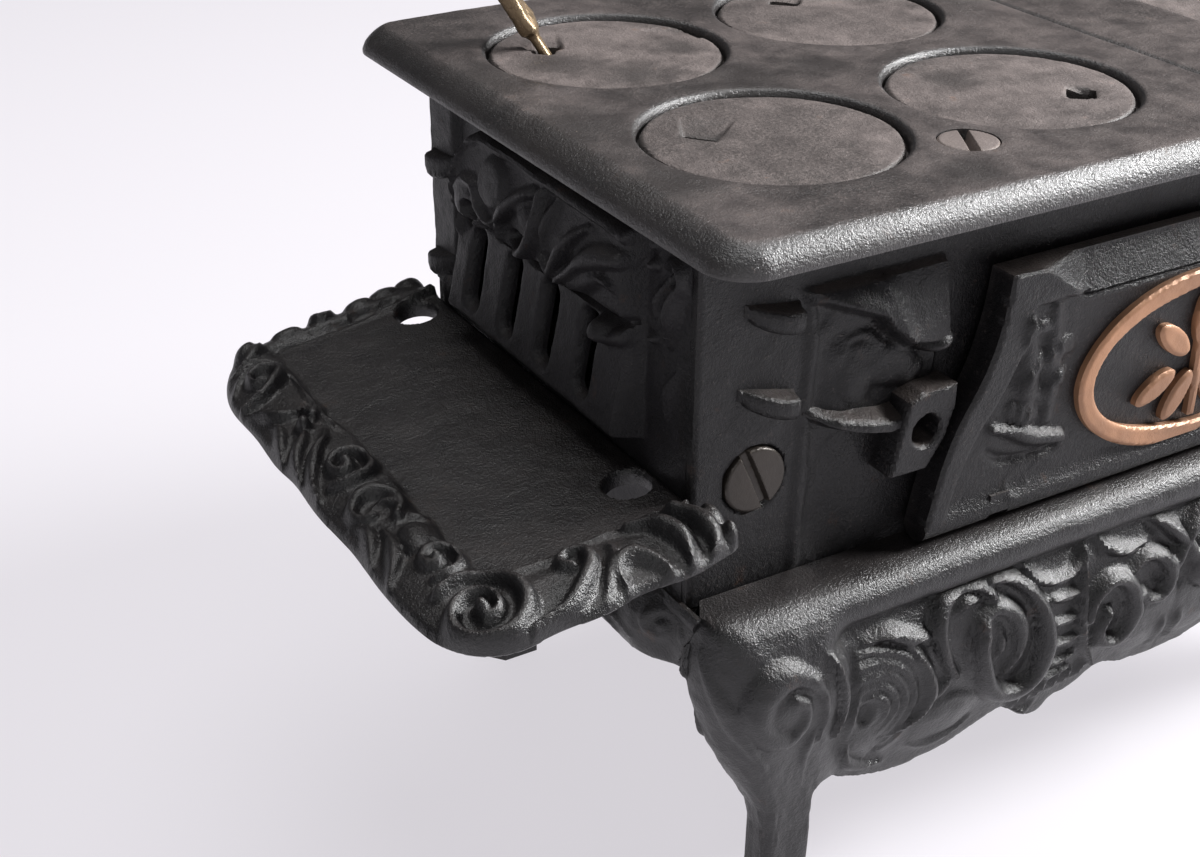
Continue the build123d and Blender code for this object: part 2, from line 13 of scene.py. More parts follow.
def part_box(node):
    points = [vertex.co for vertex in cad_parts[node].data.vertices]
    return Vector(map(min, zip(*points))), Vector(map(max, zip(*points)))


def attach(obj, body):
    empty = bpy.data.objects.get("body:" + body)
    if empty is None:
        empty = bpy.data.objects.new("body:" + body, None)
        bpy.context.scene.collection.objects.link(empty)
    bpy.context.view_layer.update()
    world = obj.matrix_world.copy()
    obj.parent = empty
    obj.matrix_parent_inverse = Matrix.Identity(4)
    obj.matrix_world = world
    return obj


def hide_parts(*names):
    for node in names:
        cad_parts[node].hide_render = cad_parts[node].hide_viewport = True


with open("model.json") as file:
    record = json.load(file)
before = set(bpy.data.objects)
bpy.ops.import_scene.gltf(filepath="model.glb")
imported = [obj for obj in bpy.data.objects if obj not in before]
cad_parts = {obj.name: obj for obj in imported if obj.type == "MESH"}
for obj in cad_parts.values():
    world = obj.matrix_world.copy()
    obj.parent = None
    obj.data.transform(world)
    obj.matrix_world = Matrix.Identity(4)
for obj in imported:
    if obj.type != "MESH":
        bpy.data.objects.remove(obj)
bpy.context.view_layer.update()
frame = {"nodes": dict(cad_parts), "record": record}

MM = 0.001
plate_lo, plate_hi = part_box("burner_plate")
base_lo, base_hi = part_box("base_front")
CX = (base_lo.x + base_hi.x) / 2 / MM
CY = (plate_lo.y + plate_hi.y) / 2 / MM
TOP = 165.0
FLOOR = TOP - plate_hi.z / MM
STEP = 0.42      # grid of the finest ornament
SHARP_ANGLE = 38                   # edges that turn more than this stay crisp, in degrees


# ---- numbers and curves -------------------------------------------------
def smooth(t):
    t = np.clip(t, 0.0, 1.0)
    return t * t * (3 - 2 * t)


def curve(points, step=0.3, closed=False):
    """Catmull-Rom curve through the points, as rows of x and y."""
    p = np.asarray(points, float)
    p = np.vstack([p[-1], p, p[:2]]) if closed else np.vstack([2 * p[0] - p[1], p, 2 * p[-1] - p[-2]])
    rows = []
    for a, b, c, d in zip(p, p[1:], p[2:], p[3:]):
        count = max(2, int(np.hypot(*(c - b)) / step))
        t = np.linspace(0, 1, count, endpoint=False)[:, None]
        rows.append(0.5 * (2 * b + (c - a) * t + (2 * a - 5 * b + 4 * c - d) * t**2
                           + (3 * b - a - 3 * c + d) * t**3))
    if not closed:
        rows.append(p[-2][None, :])
    return np.vstack(rows)


def spiral(cu, cv, r0, r1, a0, a1):
    """Points of a spiral from radius r0 at angle a0 to r1 at a1, in degrees."""
    count = max(6, int(abs(a1 - a0) / 25))
    t = np.linspace(0, 1, count)
    angle = np.radians(a0 + (a1 - a0) * t)
    radius = r0 + (r1 - r0) * t
    return list(zip(cu + radius * np.cos(angle), cv + radius * np.sin(angle)))


def lumps(u, v, size, seed):
    """Smooth seeded unevenness between -1 and 1, with features of the given size."""
    grid = np.random.default_rng(seed).uniform(-1, 1, (64, 64))
    a, b = u / size, v / size
    i, j = np.floor(a).astype(int), np.floor(b).astype(int)
    s, t = smooth(a - i), smooth(b - j)
    at = lambda m, n: grid[m % 64, n % 64]
    return ((at(i, j) * (1 - s) + at(i + 1, j) * s) * (1 - t)
            + (at(i, j + 1) * (1 - s) + at(i + 1, j + 1) * s) * t)


def cast_skin(u, v, seed, amount=1.0):
    """Unevenness of a sand casting, in millimetres."""
    return amount * (0.10 * lumps(u, v, 7.0, seed) + 0.06 * lumps(u, v, 2.6, seed + 1)
                     + 0.035 * lumps(u, v, 1.1, seed + 2))


def distance_inside(u, v, loop):
    """Signed distance to a closed loop of points, negative inside it."""
    loop = np.asarray(loop, float)
    best = np.full(u.shape, 1e9)
    odd = np.zeros(u.shape, bool)
    for (au, av), (bu, bv) in zip(loop, np.roll(loop, -1, axis=0)):
        du, dv = bu - au, bv - av
        span = du * du + dv * dv
        if span < 1e-12:
            continue
        t = np.clip(((u - au) * du + (v - av) * dv) / span, 0, 1)
        best = np.minimum(best, (u - au - t * du) ** 2 + (v - av - t * dv) ** 2)
        if abs(dv) > 1e-12:
            cross = ((av > v) != (bv > v)) & (u < au + (v - av) * du / dv)
            odd ^= cross
    return np.where(odd, -1, 1) * np.sqrt(best)


def distance_box(u, v, u0, u1, v0, v1, corner=0.0):
    """Signed distance to a rectangle with rounded corners, negative inside it."""
    a = np.abs(u - (u0 + u1) / 2) - (u1 - u0) / 2 + corner
    b = np.abs(v - (v0 + v1) / 2) - (v1 - v0) / 2 + corner
    return np.hypot(np.maximum(a, 0), np.maximum(b, 0)) + np.minimum(np.maximum(a, b), 0) - corner


def rounded(inside, radius):
    """How far the surface falls near an edge rounded to a radius; inside is negative."""
    d = np.clip(radius + inside, 0, radius)
    return radius - np.sqrt(np.maximum(radius**2 - d**2, 0))


# ---- ornament -----------------------------------------------------------
class Relief:
    """Height map over a rectangle, drawn with rounded strokes and domes."""

    def __init__(self, u0, u1, v0, v1, step=0.25, shift=(0.0, 0.0)):
        self.u = np.arange(u0, u1 + step, step)
        self.v = np.arange(v0, v1 + step, step)
        self.h = np.zeros((len(self.u), len(self.v)), np.float32)
        self.step = step
        self.shift = np.array(shift)

    def _window(self, lo, hi):
        i0, i1 = np.searchsorted(self.u, (lo[0], hi[0]))
        j0, j1 = np.searchsorted(self.v, (lo[1], hi[1]))
        return slice(i0, i1), slice(j0, j1)

    def stroke(self, points, width, height, start=0.3, end=0.3, moat=0.0, mode="max", closed=False, dip=0.0):
        """A rounded ridge along a curve; its half width runs start, 1, end along it.

        moat lowers the ground beside it; dip hollows its crest; mode cut digs a channel instead."""
        path = curve(points, 0.35, closed) + self.shift
        t = np.linspace(0, 1, len(path))
        taper = np.where(t < 0.5, start + (1 - start) * smooth(2 * t), end + (1 - end) * smooth(2 - 2 * t))
        half = np.maximum(width * taper, 0.3)
        tall = height * np.sqrt(taper)
        reach = width * 1.7 + 0.5
        rows, cols = self._window(path.min(0) - reach, path.max(0) + reach)
        ground = self.h[rows, cols]
        if ground.size == 0:
            return
        uu, vv = np.meshgrid(self.u[rows], self.v[cols], indexing="ij")
        near = np.full(uu.shape, 9.0)
        ridge = np.zeros(uu.shape)
        for (pu, pv), w, tall_here in zip(path, half, tall):
            q = ((uu - pu) ** 2 + (vv - pv) ** 2) / (w * w)
            near = np.minimum(near, q)
            ridge = np.maximum(ridge, tall_here * np.sqrt(np.maximum(1 - q, 0)))
        if dip:
            ridge -= dip * smooth(1 - near * 3)
        if mode == "cut":
            self.h[rows, cols] = ground - ridge
            return
        if moat:
            ground = ground - moat * smooth((2.4 - near) / 1.4) * (near > 0.8)
        self.h[rows, cols] = ground + ridge if mode == "add" else np.maximum(ground, ridge)

    def dome(self, cu, cv, ru, rv, height, turn=0.0, mode="max", power=0.5):
        cu, cv = np.array((cu, cv)) + self.shift
        reach = max(ru, rv) + 0.5
        rows, cols = self._window((cu - reach, cv - reach), (cu + reach, cv + reach))
        uu, vv = np.meshgrid(self.u[rows] - cu, self.v[cols] - cv, indexing="ij")
        c, s = math.cos(math.radians(turn)), math.sin(math.radians(turn))
        q = ((uu * c + vv * s) / ru) ** 2 + ((vv * c - uu * s) / rv) ** 2
        lift = height * np.maximum(1 - q, 0) ** power
        ground = self.h[rows, cols]
        if mode == "cut":
            self.h[rows, cols] = ground - lift
        elif mode == "add":
            self.h[rows, cols] = ground + lift
        else:
            self.h[rows, cols] = np.maximum(ground, lift)

    def volute(self, cu, cv, r0, r1, a0, a1, width, height, eye=0.0, **more):
        """A spiral roll that thins towards its eye."""
        self.stroke(spiral(cu, cv, r0, r1, a0, a1), width, height, start=more.pop("start", 0.6),
                    end=more.pop("end", 0.5), **more)
        if eye:
            self.dome(cu, cv, eye, eye, height * 1.1)

    def blur(self, size):
        reach = int(3 * size / self.step) + 1
        kernel = np.exp(-0.5 * (np.arange(-reach, reach + 1) * self.step / size) ** 2)
        kernel /= kernel.sum()
        for axis in (0, 1):
            pad = [(0, 0), (0, 0)]
            pad[axis] = (reach, reach)
            wide = np.pad(self.h, pad, mode="edge")
            count = self.h.shape[axis]
            self.h = sum(k * np.take(wide, np.arange(n, n + count), axis=axis)
                         for n, k in enumerate(kernel)).astype(np.float32)
        return self

    def at(self, u, v):
        a = np.clip((u - self.u[0]) / self.step, 0, len(self.u) - 1.001)
        b = np.clip((v - self.v[0]) / self.step, 0, len(self.v) - 1.001)
        i, j = a.astype(int), b.astype(int)
        s, t = a - i, b - j
        h = self.h
        return ((h[i, j] * (1 - s) + h[i + 1, j] * s) * (1 - t)
                + (h[i, j + 1] * (1 - s) + h[i + 1, j + 1] * s) * t)


# ---- meshes -------------------------------------------------------------
def make_piece(name, body, nodes, points, quads, material):
    """Mesh piece from stove coordinates in millimetres, riding on a CAD body."""
    used, quads = np.unique(quads, return_inverse=True)
    quads = quads.reshape(-1, 4)
    points = points[used]
    p = points[quads]
    volume = np.einsum("ij,ij->i", p[:, 0], np.cross(p[:, 1], p[:, 2]) + np.cross(p[:, 2], p[:, 3])).sum()
    if volume < 0:
        quads = quads[:, ::-1]
    world = (points + np.array((CX, CY, -FLOOR))) * MM
    mesh = bpy.data.meshes.new(name)
    mesh.vertices.add(len(world))
    mesh.vertices.foreach_set("co", world.astype(np.float32).ravel())
    mesh.loops.add(quads.size)
    mesh.loops.foreach_set("vertex_index", quads.astype(np.int32).ravel())
    mesh.polygons.add(len(quads))
    mesh.polygons.foreach_set("loop_start", np.arange(0, quads.size, 4, dtype=np.int32))
    mesh.polygons.foreach_set("loop_total", np.full(len(quads), 4, np.int32))
    mesh.update(calc_edges=True)
    mesh.validate()
    mesh.polygons.foreach_set("use_smooth", np.ones(len(mesh.polygons), bool))
    mesh.set_sharp_from_angle(angle=math.radians(SHARP_ANGLE))
    mesh.materials.append(material)
    thing = bpy.data.objects.new(name, mesh)
    bpy.context.scene.collection.objects.link(thing)
    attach(thing, body)
    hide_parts(*nodes)
    return thing


def lines(start, stop, step):
    """Evenly spaced grid lines."""
    return np.linspace(start, stop, max(2, int(round((stop - start) / step)) + 1))


def grid_shell(us, vs, inside, front, back, wall_rows=2):
    """Closed casting over a grid: cells where inside is negative, edges moved onto its outline."""
    uu, vv = np.meshgrid(us, vs, indexing="ij")
    s = inside(uu, vv)
    keep = (s[:-1, :-1] + s[1:, :-1] + s[:-1, 1:] + s[1:, 1:]) < 0
    for _ in range(3):
        pinch_a = keep[:-1, :-1] & keep[1:, 1:] & ~keep[1:, :-1] & ~keep[:-1, 1:]
        pinch_b = keep[1:, :-1] & keep[:-1, 1:] & ~keep[:-1, :-1] & ~keep[1:, 1:]
        keep[:-1, :-1] &= ~pinch_a
        keep[1:, :-1] &= ~pinch_b
    count = np.zeros(uu.shape, int)
    for i in (0, 1):
        for j in (0, 1):
            count[i:i + keep.shape[0], j:j + keep.shape[1]] += keep
    edge = (count > 0) & (count < 4)
    room_u, room_v = np.gradient(us)[:, None], np.gradient(vs)[None, :]
    for _ in range(3):
        s = inside(uu, vv)
        e = 0.02
        gu = (inside(uu + e, vv) - s) / e
        gv = (inside(uu, vv + e) - s) / e
        size = np.maximum(gu * gu + gv * gv, 0.05)
        move = edge & (np.abs(s) < 1.6 * np.maximum(room_u, room_v))
        du = np.clip(-s * gu / size, -0.8 * room_u, 0.8 * room_u)
        dv = np.clip(-s * gv / size, -0.8 * room_v, 0.8 * room_v)
        uu = np.clip(np.where(move, uu + du, uu), us[0], us[-1])
        vv = np.clip(np.where(move, vv + dv, vv), vs[0], vs[-1])
    number = np.arange(uu.size).reshape(uu.shape)
    a, b = number[:-1, :-1][keep], number[1:, :-1][keep]
    c, d = number[1:, 1:][keep], number[:-1, 1:][keep]
    face = np.stack([a, b, c, d], -1)
    size = uu.size
    faces = [face, face[:, ::-1] + size]
    grown = np.pad(keep, 1)
    rims = []
    here = grown[1:-1, 1:-1]
    below = here & ~grown[1:-1, :-2]
    above = here & ~grown[1:-1, 2:]
    left = here & ~grown[:-2, 1:-1]
    right = here & ~grown[2:, 1:-1]
    rims.append(np.stack([number[:-1, :-1][below], number[1:, :-1][below]], -1))
    rims.append(np.stack([number[1:, 1:][above], number[:-1, 1:][above]], -1))
    rims.append(np.stack([number[:-1, 1:][left], number[:-1, :-1][left]], -1))
    rims.append(np.stack([number[1:, :-1][right], number[1:, 1:][right]], -1))
    rims = np.vstack(rims)
    outer = np.stack(np.broadcast_arrays(*front(uu, vv)), -1).reshape(-1, 3)
    inner = np.stack(np.broadcast_arrays(*back(uu, vv)), -1).reshape(-1, 3)
    points = [outer, inner]
    loop = np.unique(rims)
    place = {n: k for k, n in enumerate(loop)}
    where = np.vectorize(place.get)(rims)
    rows = [rims]
    for k in range(1, wall_rows):
        t = k / wall_rows
        rows.append(where + size * 2 + (k - 1) * len(loop))
        points.append(outer[loop] * (1 - t) + inner[loop] * t)
    rows.append(rims + size)
    for upper, lower in zip(rows, rows[1:]):
        faces.append(np.stack([upper[:, 1], upper[:, 0], lower[:, 0], lower[:, 1]], -1))
    return np.vstack(points), np.vstack(faces)


def merge(*shells):
    """Several closed shells as one set of points and quads."""
    start, points, quads = 0, [], []
    for p, q in shells:
        corner = p[q]
        side = np.cross(corner[:, 1], corner[:, 2]) + np.cross(corner[:, 2], corner[:, 3])
        if np.einsum("ij,ij->i", corner[:, 0], side).sum() < 0:
            q = q[:, ::-1]
        points.append(p)
        quads.append(q + start)
        start += len(p)
    return np.vstack(points), np.vstack(quads)


def turned(profile, centre, axis="z", around=48, wobble=0.0, seed=1):
    """Solid of revolution: profile rows are radius and height, and run round the section once."""
    loop = np.asarray(profile, float)
    angle = np.linspace(0, 2 * math.pi, around, endpoint=False)
    rr = loop[None, :, 0] * np.ones((around, 1))
    hh = loop[None, :, 1] * np.ones((around, 1))
    c, s = np.cos(angle)[:, None], np.sin(angle)[:, None]
    if wobble:
        rr = rr + wobble * lumps(12 + rr * c, 12 + rr * s + hh, 2.5, seed) * (rr > 0.3)
    u, v = rr * c, rr * s
    out = {"z": (u, v, hh), "y": (u, hh, v)}[axis]
    points = np.stack(out, -1).reshape(-1, 3) + np.asarray(centre, float)
    n, m = around, len(loop)
    i, j = np.meshgrid(np.arange(n), np.arange(m), indexing="ij")
    k, q = (i + 1) % n, (j + 1) % m
    quads = np.stack([i * m + j, k * m + j, k * m + q, i * m + q], -1).reshape(-1, 4)
    return points, quads


# ---- materials ----------------------------------------------------------
class Nodes:
    """Small helper round one material's node tree."""

    def __init__(self, name):
        self.material = bpy.data.materials.new(name)
        self.material.use_nodes = True
        self.tree = self.material.node_tree
        self.shader = self.tree.nodes["Principled BSDF"]
        self.place = self.add("ShaderNodeTexCoord").outputs["Object"]

    def add(self, kind, **values):
        node = self.tree.nodes.new(kind)
        for key, value in values.items():
            setattr(node, key, value)
        return node

    def link(self, source, target):
        self.tree.links.new(source, target)

    def noise(self, scale, detail=3.0, rough=0.55):
        node = self.add("ShaderNodeTexNoise")
        self.link(self.place, node.inputs["Vector"])
        node.inputs["Scale"].default_value = scale
        node.inputs["Detail"].default_value = detail
        node.inputs["Roughness"].default_value = rough
        return node.outputs["Fac"]

    def ramp(self, source, low, high, to_low=0.0, to_high=1.0):
        node = self.add("ShaderNodeMapRange")
        self.link(source, node.inputs["Value"])
        for key, value in (("From Min", low), ("From Max", high), ("To Min", to_low), ("To Max", to_high)):
            node.inputs[key].default_value = value
        return node.outputs["Result"]

    def math(self, how, a, b):
        node = self.add("ShaderNodeMath", operation=how)
        for slot, value in zip(node.inputs, (a, b)):
            if isinstance(value, (int, float)):
                slot.default_value = value
            else:
                self.link(value, slot)
        return node.outputs[0]

    def mix(self, share, a, b):
        node = self.add("ShaderNodeMix", data_type="RGBA")
        self.link(share, node.inputs["Factor"])
        for slot, value in ((node.inputs["A"], a), (node.inputs["B"], b)):
            if isinstance(value, tuple):
                slot.default_value = (*value, 1.0)
            else:
                self.link(value, slot)
        return node.outputs["Result"]

    def bump(self, height, strength, distance):
        node = self.add("ShaderNodeBump")
        node.inputs["Strength"].default_value = strength
        node.inputs["Distance"].default_value = distance
        self.link(height, node.inputs["Height"])
        self.link(node.outputs["Normal"], self.shader.inputs["Normal"])


def iron(name, paint, worn, dust, rough, grain=0.8, dusty=0.6, edge=0.6, rust=0.25, metallic=0.0, shine=0.5,
         soot=0.0, flat=0.6, patches=()):
    """Sand-cast iron: paint colour, worn edge colour, dust on upward faces and in hollows; on the front
    castings the upward dust also stands for painted light on the tops.
    """
    n = Nodes(name)
    geometry = n.add("ShaderNodeNewGeometry")
    up = n.add("ShaderNodeSeparateXYZ")
    n.link(geometry.outputs["Normal"], up.inputs[0])
    pits = n.noise(1500.0, 3.0, 0.65)
    fine = n.noise(3600.0, 2.0, 0.6)
    cloud = n.noise(38.0, 4.0, 0.6)
    patch = n.noise(150.0, 5.0, 0.65)
    colour = n.mix(n.ramp(cloud, 0.38, 0.66), paint, tuple(c * 1.7 for c in paint))
    # Upward faces take the dust colour. This is real dust, and on the front castings it is partly painted
    # light on the tops.
    upward = n.math("MULTIPLY", n.ramp(up.outputs["Z"], flat, 0.99), n.ramp(patch, 0.3, 0.62, 0.3, 1.0))
    colour = n.mix(n.math("MULTIPLY", upward, dusty), colour, dust)
    hollow = n.ramp(geometry.outputs["Pointiness"], 0.48, 0.42, 0.0, 0.25 * dusty)
    colour = n.mix(n.math("MULTIPLY", hollow, n.ramp(pits, 0.4, 0.6)), colour, dust)
    ridge = n.ramp(geometry.outputs["Pointiness"], 0.535, 0.60, 0.0, edge)
    colour = n.mix(n.math("MULTIPLY", ridge, n.ramp(patch, 0.35, 0.6)), colour, worn)
    speck = n.math("MULTIPLY", n.ramp(pits, 0.62, 0.72), 0.30 + 0.4 * (flat > 0.7))
    colour = n.mix(speck, colour, tuple(c * 1.5 for c in dust))
    spot = n.math("MULTIPLY", n.ramp(patch, 0.64, 0.74, 0.0, rust), n.ramp(fine, 0.42, 0.6))
    colour = n.mix(spot, colour, (0.20, 0.085, 0.035))
    if soot:
        darker_patch = n.math("MULTIPLY", n.ramp(n.noise(26.0, 4.0, 0.55), 0.46, 0.60, 0.0, soot),
                       n.ramp(pits, 0.75, 0.4))
        colour = n.mix(darker_patch, colour, tuple(c * 0.16 for c in dust))
    # Darker round patches around the listed points, at the height of the cooking plate.
    for x, y, radius in patches:
        near = n.add("ShaderNodeVectorMath")
        near.operation = "DISTANCE"
        n.link(n.place, near.inputs[0])
        near.inputs[1].default_value = ((CX + x) * MM, (CY + y) * MM, (TOP - FLOOR) * MM)
        ragged = n.math("ADD", near.outputs["Value"], n.math("MULTIPLY", patch, radius * MM))
        darker_patch = n.ramp(ragged, radius * 1.7 * MM, radius * 0.9 * MM, 0.0, 0.85)
        colour = n.mix(darker_patch, colour, tuple(c * 0.25 for c in dust))
    n.link(colour, n.shader.inputs["Base Color"])
    n.link(n.ramp(n.math("ADD", n.math("MULTIPLY", patch, 0.6), n.math("MULTIPLY", fine, 0.4)),
                  0.3, 0.7, rough - 0.10, rough + 0.14), n.shader.inputs["Roughness"])
    n.shader.inputs["Metallic"].default_value = metallic
    n.shader.inputs["Specular IOR Level"].default_value = shine
    height = n.math("ADD", n.math("MULTIPLY", pits, 0.65), n.math("MULTIPLY", fine, 0.35))
    n.bump(height, grain, 0.00040)
    return n.material


PAINT = (0.0050, 0.0046, 0.0052)
DUST = (0.052, 0.043, 0.040)
cast_black = iron("cast_black", PAINT, (0.050, 0.043, 0.043), DUST, 0.33, dusty=0.28, shine=0.5)
cast_top = iron("cast_top", (0.012, 0.0105, 0.011), (0.10, 0.085, 0.082), (0.088, 0.072, 0.068), 0.36,
                dusty=0.92,
                soot=0.85, flat=0.80, shine=0.8,
                patches=((-108, -10, 14), (-66, 0, 13), (-106, -38, 12), (-60, -58, 8), (-50, 0, 8),
                         (-106, 24, 13)))
cast_lid = iron("cast_lid", (0.030, 0.025, 0.024), (0.12, 0.095, 0.082), (0.150, 0.124, 0.117), 0.50,
                grain=0.9,
                dusty=0.95, rust=0.8, soot=0.7,
                patches=((-57, -55, 6), (-31, -18, 6), (-80, 14, 8), (-90, 26, 9), (-88, -20, 6),
                         (-64, 24, 6)))
# Black paint of the left end, painted about twice as light as cast_black. This is painted light for the soft
# fill and the floor's reflection on that end; the right end wears cast_black.
cast_left_end_painted_light = iron("cast_left_end_painted_light", (0.0100, 0.0092, 0.0104), (0.040, 0.037, 0.038), DUST, 0.46, dusty=0.3,
                 edge=0.4,
                 shine=0.3)
# Black paint of the front wall and oven door. It is painted a little darker than cast_black for the shade on
# these front faces. Its brighter upward dust is partly real dust and partly painted light on the tops of the
# lumps, ledge and hood.
cast_front_shade_and_top_light = iron("cast_front_shade_and_top_light", (0.0045, 0.0041, 0.0046), (0.045, 0.039, 0.039), (0.085, 0.070, 0.064),
                   0.33,
                   dusty=0.6, shine=0.3)
sooty = iron("sooty_iron", (0.008, 0.007, 0.0065), (0.03, 0.025, 0.022), (0.03, 0.025, 0.022), 0.7, rust=0.5)
bolt_steel = iron("bolt_steel", (0.022, 0.018, 0.015), (0.14, 0.12, 0.10), (0.035, 0.028, 0.024), 0.36,
                  grain=0.2,
                  metallic=0.45, rust=0.45)
worn_head = iron("worn_head", (0.10, 0.082, 0.075), (0.16, 0.11, 0.08), (0.150, 0.124, 0.117), 0.50,
                 grain=0.5,
                 dusty=0.9, rust=0.8)
copper = iron("copper", (0.24, 0.125, 0.070), (0.42, 0.25, 0.155), (0.12, 0.075, 0.050), 0.45, grain=0.25,
              dusty=0.3,
              metallic=0.35, rust=0.2)
lifter_metal = iron("lifter_metal", (0.16, 0.115, 0.07), (0.62, 0.50, 0.36), (0.10, 0.07, 0.045), 0.32,
                    grain=0.5,
                    dusty=0.4, edge=0.9, metallic=0.75, rust=0.5)


# ---- side shelf ---------------------------------------------------------
def side_shelf():
    """Drooping shelf with two holes and a scrolled border; u runs along its slope, v is y."""
    droop = math.radians(6.0)
    edge_x, edge_z, thick = -109.4, 115.0, 3.0
    sweep = [(-2, 51.2), (-5, 50.9), (-7.5, 50.0), (-10, 50.1), (-13, 48.9), (-16, 48.8), (-20, 47.7),
             (-24, 47.7), (-28, 46.6), (-33, 46.0), (-38, 45.4), (-42.5, 43.6), (-46.3, 39.5), (-49, 33),
             (-50.2, 26), (-50.0, 15), (-50.5, 4), (-50.0, -4), (-50.5, -15), (-50.0, -28), (-50.5, -42),
             (-50.0, -53), (-48.3, -60), (-44.5, -65), (-39, -67.2), (-32, -66.6), (-25, -67.3), (-17, -66.3),
             (-9, -67.2), (-3, -66.3), (1.2, -65.2), (2.6, -61.5), (2.2, -57), (0.2, -54.6)]
    loop = np.vstack([[(0, 49.5)], curve(sweep, 1.2), [(0, -53.5)]])
    holes = ((-7.24, 36.0), (-5.23, -42.0))

    def inside(u, v):
        s = distance_inside(u, v, loop)
        for hole_u, hole_v in holes:
            s = np.maximum(s, 4.1 - np.hypot(u - hole_u, v - hole_v))
        return s

    r = Relief(-70, 54, -52, 4)
    r.stroke([(-51.8, 0), (-52.5, -5), (-54, -12), (-53.4, -18), (-53, -22), (-54.2, -27), (-53.6, -33),
              (-54, -35.5), (-51, -36.5), (-49.5, -39), (-46.5, -37.6), (-43, -38), (-40, -39.3),
              (-36, -37.8), (-31.5, -37), (-29.5, -39.5), (-25, -37.7), (-20, -37.2), (-14, -36.8),
              (-6, -37.2), (2, -36.7), (8, -38.5), (10, -39.3), (13, -37.3), (18, -38.2), (25, -36.5),
              (31, -37), (37, -36.6)],
             0.9, 0.7, 1, 1)
    r.volute(-59.5, -41.5, 8.8, 1.6, -25, 560, 1.75, 1.9, eye=1.5, moat=0.8)
    r.volute(-44, -41.5, 4.6, 0.8, 210, -240, 1.35, 1.5, eye=1.2, moat=0.7)
    r.dome(-36.2, -41.5, 4.4, 3.4, 1.4, 25)
    r.stroke([(-43, -50), (-39, -47), (-34, -45.2), (-30.5, -44.8)], 1.6, 1.3, moat=0.5)
    r.stroke([(-36, -50), (-32, -48), (-28, -47), (-25, -48.5)], 1.5, 1.1, moat=0.4)
    r.volute(-24, -44, 5.6, 2.2, 150, -170, 1.7, 1.6, moat=0.8)
    r.stroke([(-29, -42), (-26.5, -40.2), (-24, -41.5), (-24, -44)], 1.0, 1.1)
    r.volute(-9.3, -42, 5.8, 1.0, 230, -250, 1.5, 1.6, eye=1.5, moat=0.8)
    r.stroke([(-14, -49.5), (-8, -48.2), (-2, -44.8), (1, -41.8), (4.5, -40.3)], 1.5, 1.4, moat=0.6)
    r.stroke([(-6, -50), (0, -47.8), (4, -44.6), (7.5, -43.2)], 1.5, 1.4, moat=0.6)
    r.dome(7.2, -43.1, 1.7, 1.5, 1.9)
    r.stroke([(2, -50), (7, -48), (11, -46.8), (14, -47.5)], 1.4, 1.1, moat=0.4)
    r.stroke([(13.5, -40), (12.6, -43), (14.6, -46), (18, -47.6), (21, -49.8)], 1.5, 1.4, moat=0.6)
    r.dome(10.6, -40.3, 1.9, 2.2, 1.3, mode="cut")
    r.stroke([(22, -50), (22.6, -45.2), (25, -41.6), (28.3, -39.3), (31, -41.4), (30.4, -44.6), (27.6, -45),
              (26.6, -43)], 1.45, 1.7, start=0.7, end=0.6, moat=0.7)
    r.stroke([(19, -38.4), (26, -37.4), (31.4, -38.4), (34, -42), (32.6, -46), (29, -48.8)], 1.2, 1.2,
             moat=0.4)
    r.dome(41, -41.6, 3.2, 2.6, 1.7, 30)
    r.stroke([(36, -46), (37.6, -42), (40.5, -38.6), (43.6, -39.6)], 1.2, 1.1, moat=0.4)
    r.stroke([(41.6, 1), (39.6, -12), (38.4, -22), (37.6, -35)], 1.0, 0.9, 1, 1)
    r.stroke([(42.6, -9), (41.6, -18), (41.2, -28)], 1.6, 0.9, 0.5, 0.5, mode="cut")
    for bump_v, bump_u, size in ((49.4, -2.6, 2.5), (48.0, -9.4, 2.3), (46.6, -15.6, 2.1), (44.6, -32, 2.2)):
        r.dome(bump_v - 0.6, bump_u, size * 1.15, size * 1.5, 0.9)
    r.volute(45.6, -24.2, 2.6, 0.8, 90, 400, 1.1, 1.4)
    r.stroke([(-67, -36), (-65, -29), (-60.5, -23), (-56.6, -21.8), (-55, -24.4), (-57, -26.6), (-58.8, -25)],
             1.5, 1.6, start=0.9, end=0.6, moat=0.7)
    r.stroke([(-68, -11.5), (-64.5, -12.5), (-61, -15.5), (-62, -19), (-66, -19.6)], 1.6, 1.5, moat=0.7)
    r.stroke([(-54.4, -13), (-57, -9), (-62, -7), (-67.5, -8.4)], 1.9, 1.9, start=0.5, moat=0.8)
    r.stroke([(-55, -4.6), (-59, -2.4), (-64, -2.2), (-67, -4.4)], 2.0, 1.9, start=0.7, moat=0.8)
    r.dome(-58.5, 0.8, 3.2, 1.9, 1.6, 12)
    r.dome(-64, 1.2, 2.4, 1.6, 1.9)
    r.stroke([(-66.5, -24), (-64, -21.8), (-59.5, -18.2), (-56, -17.2)], 1.1, 1.0)
    r.blur(0.32)

    def height(u, v):
        s = distance_inside(u, v, loop)
        field = distance_box(u, v, -37.3, 12.0, -52.8, 40.0 + 0.04 * (u + 20), 2.0)
        share = np.clip(field, 0, 40) / np.maximum(np.clip(field, 0, 40) - s, 0.3)
        border = np.interp(share, [0, 0.05, 0.16, 0.36, 0.6, 0.8, 0.93, 1.0],
                           [0, 0.55, 0.9, 1.25, 0.7, -0.2, -0.9, -1.3])
        rim_fall = rounded(s, 1.1)
        hole_fall = 0.0
        for hole_u, hole_v in holes:
            hole_fall = hole_fall + rounded(4.1 - np.hypot(u - hole_u, v - hole_v), 0.7)
        grown = smooth((field + 1.5) / 2.5)
        return border + 1.55 * grown * r.at(v, u) - rim_fall - hole_fall + cast_skin(u, v, 11)

